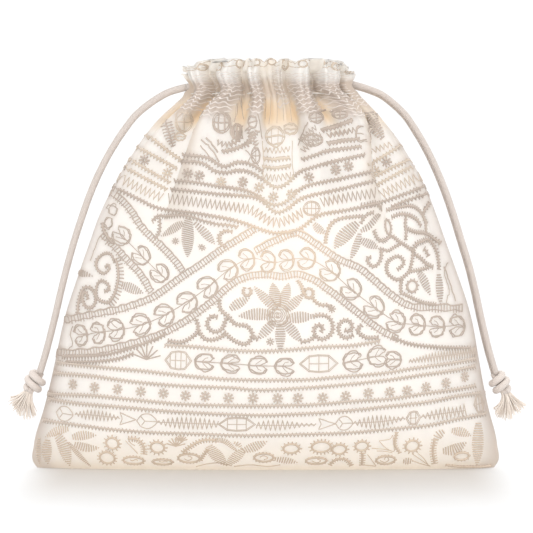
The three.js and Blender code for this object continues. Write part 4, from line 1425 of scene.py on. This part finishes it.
borderLines = [
    [(126, 440.6), (131.6, 447), (138, 453.4)], [(128, 438.6), (131, 443), (136, 446)],
    [(379.4, 440.6), (385, 440), (390, 438.6), (392.4, 434.6), (393, 443), (394, 451.6), (386, 447.4),
     (379.4, 440.6)],
    [(371.6, 448), (386, 449.4), (392, 451.4)], [(377, 450.4), (384, 451), (392, 452.4)],
    [(368, 454.4), (372, 459.6), (376.4, 466)], [(362, 464.6), (369, 465.2), (376.4, 466)],
    [(412, 453.6), (420, 459), (430, 466)], [(412, 460), (420, 463.4), (430, 466)],
    [(418, 453.6), (424, 458), (428, 464)],
    [(384, 459), (386, 456.6), (389, 459.6), (385, 462), (380, 460.4)],
    [(317, 459), (321, 460.4), (317, 462.4), (312, 461)],
    [(188, 456), (192, 457.6), (188.6, 460.2), (184.4, 458.6)],
    [(130, 459.6), (133, 460.6), (136, 459.4), (138.4, 460.4)],
    [(159, 461), (162, 462), (165, 460.8), (168, 461.8)],
    [(260, 457), (264, 455.4), (268, 457.4), (264, 459.4)],
    [(196, 466.4), (207, 463.6), (220, 462.8), (232, 465.6)],
    [(234, 466), (250, 464.4), (268, 465.8), (280, 464.4)],
]
borderSprays = [((176, 446), 5.0), ((181, 441), 3.4)]


def drawLeaves(chart):
    # the leaves are shortened where they stand close
    for centres, length, width in leafChains:
        chart.thread(chart.trace(centres, 1.5), threadWeight["vine"])
        for centre, way in zip(centres, np.gradient(np.array(centres), axis=0)):
            chart.leafPair(centre, math.atan2(way[1], way[0]), min(length, 0.8 * math.hypot(*way)), width)
    way = np.subtract(vineTip["middle"], vineTip["tail"])
    chart.leafPair(vineTip["middle"], math.atan2(way[1], way[0]), vineTip["length"], vineTip["width"])


def drawSeen(chart, rows, zigzags, stars, ovals):
    for pixels in rows:
        chart.seenRow(pixels)
    for pixels, halfWidths, period in zigzags:
        chart.seenZigzag(pixels, halfWidths, period, threadWeight["zigzag"])
    for pixel in stars:
        chart.seenStar(np.array(pixel))
    for pixel, along, up, cells in ovals:
        chart.seenOval(pixel, along, up, cells)


def drawSprigs(chart, stems, curls, fringed, needles):
    for pixels, halfWidth in stems:
        chart.fern(chart.trace(pixels), halfWidth)
    for pixels, halfWidth in curls:
        path = chart.trace(pixels)
        chart.thread(path[::2], threadWeight["scroll"])
        chart.across(path, halfWidth, halfWidth)
    for pixel, along, up, fringe in fringed:
        chart.fringedRing(chart.spot(*pixel), along, up, fringe)
    for pixel, length in needles:
        chart.spray(chart.spot(*pixel), length)


def drawRows(chart):
    for pixels in shortRows:
        chart.row(chart.trace(pixels))
    drawSeen(chart, foldRows, foldZigzags, upperStars, upperOvals)
    for pixels in foldLines:
        chart.pixelLine(smoothPath(pixels, seenStitch["lineStep"]), threadWeight["foldLine"])
    for pixels, reach in upperFerns:
        chart.seenFern(pixels, reach)


def drawLow(chart):
    for pixels in bodyRows:
        chart.row(chart.trace(pixels))
    for pixel in lowerStars:
        chart.star(chart.spot(*pixel), stitch["starRadius"], threadWeight["star"])
    for pixels, halfWidths, period in wavyZigzags:
        path = chart.trace(pixels)
        chart.zigzag(path, halfWidths, period, threadWeight["wavyZigzag"])
        chart.thread(path[::3], threadWeight["wavyLine"])
    for motif, table in ((chart.lattice, lattices), (chart.bandLeaf, bandLeaves), (chart.bow, bows)):
        for pixel, *sizes in table:
            motif(chart.spot(*pixel), *sizes)


def drawHollows(chart):
    drawSeen(chart, hollowRows, hollowZigzags, hollowStars, hollowOvals)
    for pixels in hollowLines:
        chart.pixelLine(smoothPath(pixels, seenStitch["hollowStep"]), threadWeight["hollowLine"])
    for height in headingRows:
        chart.ripple(height, -stitch["headingSpan"], stitch["headingSpan"], threadWeight["heading"])
    for pixel, along, up in headingLoops:
        chart.seenOval(pixel, along, up, 0)


def drawNeck(chart):
    for start, end, lowest in neckLines["folds"]:
        for height in np.arange(lowest, neckLines["top"], neckLines["pitch"]):
            chart.ripple(height, start, end, threadWeight["neck"])


def drawMotifs(chart):
    for pixels in archRopes:
        chart.rope(pixels)
    drawLeaves(chart)
    chart.seenRings(**flowerRings)
    drawSprigs(chart, ferns, scrolls, rings, sprays)
    for pixels, left, right in sideFerns:
        path = chart.trace(pixels)
        chart.thread(path[::2], threadWeight["sideStem"])
        chart.across(path, left, right)
    for pixels in edgeLines:
        chart.pixelLine(smoothPath(pixels, seenStitch["lineStep"]), threadWeight["edgeLine"])
    for pixel in smallStars:
        chart.star(chart.spot(*pixel), stitch["smallStarRadius"], threadWeight["smallStar"])


def drawBorder(chart):
    drawSprigs(chart, borderFerns, borderScrolls, borderRings, borderSprays)
    for pixels, halfWidth in solidLeaves:
        chart.fern(chart.trace(pixels), halfWidth, "satinPitch")
    for pixels in borderLines:
        chart.thread(chart.trace(pixels)[::2], threadWeight["borderLine"])


class GeometryTree:
    # a Geometry Nodes tree with named inputs, which are set on the modifier by their identifiers
    def __init__(self, name, inputs):
        self.group = bpy.data.node_groups.new(name, "GeometryNodeTree")
        self.bench = NodeBench(self.group)
        self.group.interface.new_socket("Geometry", in_out="INPUT", socket_type="NodeSocketGeometry")
        self.group.interface.new_socket("Geometry", in_out="OUTPUT", socket_type="NodeSocketGeometry")
        self.identifiers = {}
        for label, kind in inputs:
            socket = self.group.interface.new_socket(label, in_out="INPUT", socket_type="NodeSocket" + kind)
            self.identifiers[label] = socket.identifier
        self.entry = self.group.nodes.new("NodeGroupInput")

    def given(self, label):
        return Wire(self.bench, self.entry.outputs[label])

    def line(self):
        return self.bench.node("GeometryNodeMeshToCurve", {}, {"Mesh": self.given("Geometry")})

    def attribute(self, name):
        return self.bench.node("GeometryNodeInputNamedAttribute", {"data_type": "FLOAT"}, {"Name": name})

    def tube(self, curve, **more):
        ring = self.bench.node("GeometryNodeCurvePrimitiveCircle", {}, {"Resolution": self.given("Sides"),
                                                                       "Radius": self.given("Radius")})
        return self.bench.node("GeometryNodeCurveToMesh", {}, {"Curve": curve, "Profile Curve": ring,
                                                               "Fill Caps": True, **more})

    def close(self, geometry):
        smooth = self.bench.node("GeometryNodeSetShadeSmooth", {}, {"Geometry": geometry})
        real = self.bench.node("GeometryNodeRealizeInstances", {}, {"Geometry": smooth})
        done = self.bench.node("GeometryNodeSetMaterial", {}, {"Geometry": real,
                                                               "Material": self.given("Material")})
        self.bench.node("NodeGroupOutput", {}, {"Geometry": done})

    def bake(self, guide, values):
        # the guide's mesh, run through the tree, as a plain mesh
        modifier = guide.modifiers.new(self.group.name, "NODES")
        modifier.node_group = self.group
        for label, value in values.items():
            modifier[self.identifiers[label]] = value
        graph = bpy.context.evaluated_depsgraph_get()
        mesh = bpy.data.meshes.new_from_object(guide.evaluated_get(graph), depsgraph=graph)
        edges = guide.data
        bpy.data.objects.remove(guide)
        bpy.data.meshes.remove(edges)
        return mesh


def threadTree():
    tree = GeometryTree("thread along a line", (("Radius", "Float"), ("Sides", "Int"),
                                                ("Material", "Material")))
    tree.close(tree.tube(tree.line(), Scale=tree.attribute("thickness")))
    return tree


def barTree():
    tree = GeometryTree("stitches across a line", (("Pitch", "Float"), ("Radius", "Float"), ("Sides", "Int"),
                                                   ("Rise", "Float"), ("Material", "Material")))
    bench = tree.bench
    stops = bench.node("GeometryNodeCurveToPoints", {"mode": "LENGTH"}, {"Curve": tree.line(),
                                                                         "Length": tree.given("Pitch")})
    tangent = Wire(bench, stops.socket.node.outputs["Tangent"])
    rise = bench.node("ShaderNodeCombineXYZ", {}, {"Y": 0.5, "Z": tree.given("Rise")})
    arch = bench.node("GeometryNodeCurveQuadraticBezier", {}, {"Resolution": 2, "Start": (0.0, -0.02, 0.0),
                                                              "Middle": rise, "End": (0.0, 1.0, 0.0)})
    bar = tree.tube(arch)
    turned = bench.node("FunctionNodeAlignRotationToVector", {"axis": "X", "pivot_axis": "Z"},
                        {"Vector": tangent})
    halfTurn = bench.node("FunctionNodeAxisAngleToRotation", {}, {"Axis": (0.0, 0.0, 1.0), "Angle": math.pi})
    opposite = bench.node("FunctionNodeRotateRotation", {"rotation_space": "LOCAL"},
                          {"Rotation": turned, "Rotate By": halfTurn})
    joined = bench.node("GeometryNodeJoinGeometry")
    for side, rotation in (("left", turned), ("right", opposite)):
        reach = tree.attribute(side)
        there = bench.node("FunctionNodeCompare", {"operation": "GREATER_THAN"}, {"A": reach, "B": 0.1})
        size = bench.node("ShaderNodeCombineXYZ", {}, {"X": 1.0, "Y": reach, "Z": 1.0})
        bars = bench.node("GeometryNodeInstanceOnPoints", {}, {
            "Points": stops, "Selection": there, "Instance": bar, "Rotation": rotation, "Scale": size})
        bench.tree.links.new(bars.socket, joined.socket.node.inputs["Geometry"])
    tree.close(joined)
    return tree


def guideMesh(name, lines):
    # lines of (points, {attribute: values}) as one mesh of edges, flat where the points have no height
    points = np.concatenate([line for line, values in lines])
    edges, first = [], 0
    for line, values in lines:
        edges += [(first + i, first + i + 1) for i in range(len(line) - 1)]
        first += len(line)
    mesh = bpy.data.meshes.new(name)
    if points.shape[1] == 2:
        points = np.concatenate((points, np.zeros((len(points), 1))), axis=1)
    mesh.from_pydata([tuple(point) for point in points], edges, [])
    for label in lines[0][1]:
        column = np.concatenate([np.broadcast_to(values[label], len(line)) for line, values in lines])
        mesh.attributes.new(label, "FLOAT", "POINT").data.foreach_set("value", column)
    guide = bpy.data.objects.new(name, mesh)
    bpy.context.collection.objects.link(guide)
    return guide


def layOnCloth(mesh, panel, name):
    points = np.empty(len(mesh.vertices) * 3)
    mesh.vertices.foreach_get("co", points)
    places = points.reshape(-1, 3)
    places[:, 2] += stitch["lift"]
    mesh.vertices.foreach_set("co", panel.lay(places).ravel())
    mesh.update()
    piece = bpy.data.objects.new(name, mesh)
    piece.data.name = name
    bpy.context.collection.objects.link(piece)
    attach(piece, "root")
    mesh.calc_loop_triangles()
    print(f"{name}: {len(mesh.loop_triangles)} triangles")


def sewChart(chart, label, material):
    lineValues = {"Radius": stitch["threadRadius"], "Sides": stitch["threadSides"], "Material": material}
    barValues = {"Radius": stitch["barRadius"], "Sides": stitch["barSides"], "Rise": stitch["barRise"],
                 "Material": material}
    lines = [(path, {"thickness": thickness}) for path, thickness in chart.threads]
    for panelName, panel in (("front", frontPanel), ("back", backPanel)):
        mesh = alongThread.bake(guideMesh(label, lines), lineValues)
        layOnCloth(mesh, panel, f"{label}_threads_{panelName}")
        for part, pitch in (("leaflets", "finePitch"), ("teeth", "teethPitch"), ("satin", "satinPitch")):
            bars = [(path, {"left": left, "right": right})
                    for path, left, right, own in chart.bars if own == pitch]
            if bars:
                mesh = acrossThread.bake(guideMesh(label, bars), {"Pitch": stitch[pitch], **barValues})
                layOnCloth(mesh, panel, f"{label}_{part}_{panelName}")


alongThread, acrossThread = threadTree(), barTree()
seenFront = SeenCloth(frontPanel)
charts = []
for label, draw, material in (("row", drawRows, stitchThread), ("motif", drawMotifs, stitchThread),
                              ("low", drawLow, lowThread), ("border", drawBorder, borderThread),
                              ("hollow", drawHollows, hollowThread), ("neck", drawNeck, neckHighlightThread)):
    charts.append(Chart(frontPanel, seenFront))
    draw(charts[-1])
    sewChart(charts[-1], label, material)
for piece, panel in ((frontCloth, frontPanel), (backCloth, backPanel)):
    shadeNearStitches(piece, panel, charts)
print("embroidery sewn")


# Frayed ends: yarns fanning out below the knots. Tips in the picture's plane, in metres.
fray = {
    "left": [(-0.1317, 0.0362), (-0.1307, 0.0326), (-0.1270, 0.0277), (-0.1229, 0.0251), (-0.1195, 0.0252),
             (-0.1168, 0.0266)],
    "right": [(0.1167, 0.0302), (0.1180, 0.0268), (0.1226, 0.0242), (0.1272, 0.0260), (0.1314, 0.0294),
              (0.1334, 0.0327)],
    "yarns": 84,
    "radius": 0.00028,
    "sides": 5,
    "rootRadius": 0.0024,
    "rootDepth": 0.002,            # how far the yarns start inside the knot
    "straight": 0.0052,            # they leave it along its axis
    "waver": 0.0004,
    "cut": (0.84, 1.04),           # shares of the full length
    "depth": 0.0055,
    "seed": 21,
}


def frayedTail(cordSide, seed):
    foot, axis, aside, depth = knotAxes(knotSize[cordSide])[1:]
    tips = smoothPath(fray[cordSide], 0.0002)
    draw = np.random.default_rng(seed)
    lines = []
    t = np.linspace(0.0, 1.0, 9)[:, None]
    way = 1 if (tips[-1] - tips[0])[0] * aside[0] > 0 else -1
    for yarn in range(fray["yarns"]):
        share = (yarn + draw.uniform(0.0, 1.0)) / fray["yarns"]
        turn, reach = draw.uniform(0.0, 2 * math.pi), math.sqrt(draw.uniform(0.0, 1.0))
        across, back = way * (share * 2 - 1), reach * math.sin(turn)
        root = fray["rootRadius"] * (0.75 * across * aside + 0.7 * back * depth)
        start = foot - axis * fray["rootDepth"] + root
        tip = tips[int(share * (len(tips) - 1))]
        end = np.array((tip[0], fray["depth"] * back, tip[1]))
        end = start + (end - start) * draw.uniform(*fray["cut"])
        bend = start + axis * fray["straight"] + draw.normal(0.0, fray["waver"], 3)
        line = (1 - t) ** 2 * start + 2 * t * (1 - t) * bend + t ** 2 * end
        lines.append((line, {"thickness": 1.15 - 0.45 * t[:, 0] ** 2}))
    values = {"Radius": fray["radius"], "Sides": fray["sides"], "Material": frayedYarn}
    mesh = alongThread.bake(guideMesh("frayed tail", lines), values)
    piece = bpy.data.objects.new(f"frayed_tail_{cordSide}", mesh)
    bpy.context.collection.objects.link(piece)
    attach(piece, "root")
    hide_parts(f"tassel_{cordSide}")
    return piece


for offset, cordSide in enumerate(("left", "right")):
    frayedTail(cordSide, fray["seed"] + offset)
print("tails frayed")


# Light: a white room, brighter behind the bag, two gentle lamps in front and a glow inside. Metres.
light = {
    "roomFront": 1.02,
    "roomBack": 2.3,
    "roomEdge": (0.15, 0.85),      # how far back the brighter part starts and is full
    "roomSeen": 1.05,              # to the camera
    "front": {"place": (-0.2, -1.1, 1.1), "size": (1.4, 1.2), "power": 7.2},
    "low": {"place": (0.3, -1.2, 0.16), "size": (1.6, 0.4), "power": 4.5},
    "inside": {
        "heights": (0.017, 0.052, 0.087, 0.122, 0.157),
        "tall": 0.035,
        "margin": 0.009,
        "glow": 0.18,
    },
}


def addLight(name, place, size, power, aim=view["target"]):
    data = bpy.data.lights.new(name, "AREA")
    data.shape = "RECTANGLE"
    data.size, data.size_y = size
    data.energy = power
    lamp = bpy.data.objects.new(name, data)
    lamp.location = place
    lamp.rotation_euler = (Vector(aim) - Vector(place)).to_track_quat("-Z", "Y").to_euler()
    lamp.visible_camera = False
    bpy.context.collection.objects.link(lamp)


def lightInside(heights, tall, margin, glow):
    # strips in the middle of the bag, one towards each panel, so that both sides glow alike
    for height in heights:
        width = 2 * (float(sectionShape(height / mm)[0]) * mm - margin)
        power = glow * math.pi * width * tall
        for way in (-1, 1):
            addLight("inside", (0, 0, height), (width, tall), power, (0, way, height))


def addRoom():
    # white to the camera, and brighter behind the thin cloth than before it
    world = bpy.data.worlds.new("white room")
    world.use_nodes = True
    world.node_tree.nodes.clear()
    bench = NodeBench(world.node_tree)
    back = axisOf(bench, bench.node("ShaderNodeTexCoord", {}, {}, 0), 1)
    share = smoothStep(bench, back, *light["roomEdge"])
    glow = share * (light["roomBack"] - light["roomFront"]) + light["roomFront"]
    seen = bench.node("ShaderNodeLightPath")
    strength = seen * (light["roomSeen"] - glow) + glow
    room = bench.node("ShaderNodeBackground", {}, {"Color": (1.0, 1.0, 1.0, 1.0), "Strength": strength})
    bench.node("ShaderNodeOutputWorld", {}, {"Surface": room})
    bpy.context.scene.world = world
    bpy.context.scene.view_settings.view_transform = "Standard"


# Floor: pale and glowing, as if lit from below, with a painted shadow before the bag. Metres.
floor = {
    "left": (-0.13, -0.1),         # outer and inner edge of the painted shadow
    "right": (0.13, 0.1),
    "front": (-0.145, -0.02),
    "back": (0.06, 0.02),
    "open": (1.0, 1.01, 1.02, 1.0),
    "paintedShadow": (0.63, 0.57, 0.51, 1.0),
    "glow": 0.6,
    "light": (0.31, 0.31, 0.31, 1.0),
    "dark": (0.29, 0.29, 0.29, 1.0),
    "patches": 40.0,
    "roughness": 0.9,
    "half": 2.5,
    "backEdge": 0.24,
    "level": -0.0004,
}


def addFloor():
    material, bench = newMaterial("pale floor")
    place = objectPlace(bench)
    color = mixColors(bench, noise(bench, place, floor["patches"]), floor["dark"], floor["light"])
    across, deep = axisOf(bench, place, 0), axisOf(bench, place, 1)
    # painted shadow: the floor's glow turns grey and warm before the bag
    paintedShadow = 1.0
    for value, edge in ((across, "right"), (across, "left"), (deep, "front"), (deep, "back")):
        paintedShadow = paintedShadow * smoothStep(bench, value, *floor[edge])
    glow = mixColors(bench, paintedShadow, floor["open"], floor["paintedShadow"])
    closeMaterial(bench, bench.node("ShaderNodeBsdfPrincipled", {}, {
        "Base Color": color, "Roughness": floor["roughness"], "Emission Color": glow,
        "Emission Strength": floor["glow"]}))
    half, back, level = floor["half"], floor["backEdge"], floor["level"]
    corners = [(-half, -half, level), (half, -half, level), (half, back, level), (-half, back, level)]
    meshObject("floor", corners, [(0, 1, 2, 3)], material)


addRoom()
addFloor()
for lampName in ("front", "low"):
    addLight(lampName, **light[lampName])
lightInside(**light["inside"])
print("light set")


# The hanging strands, and the side that each hangs from.
for name, piece in tailPieces.items():
    cordSide = name.split("_")[1]
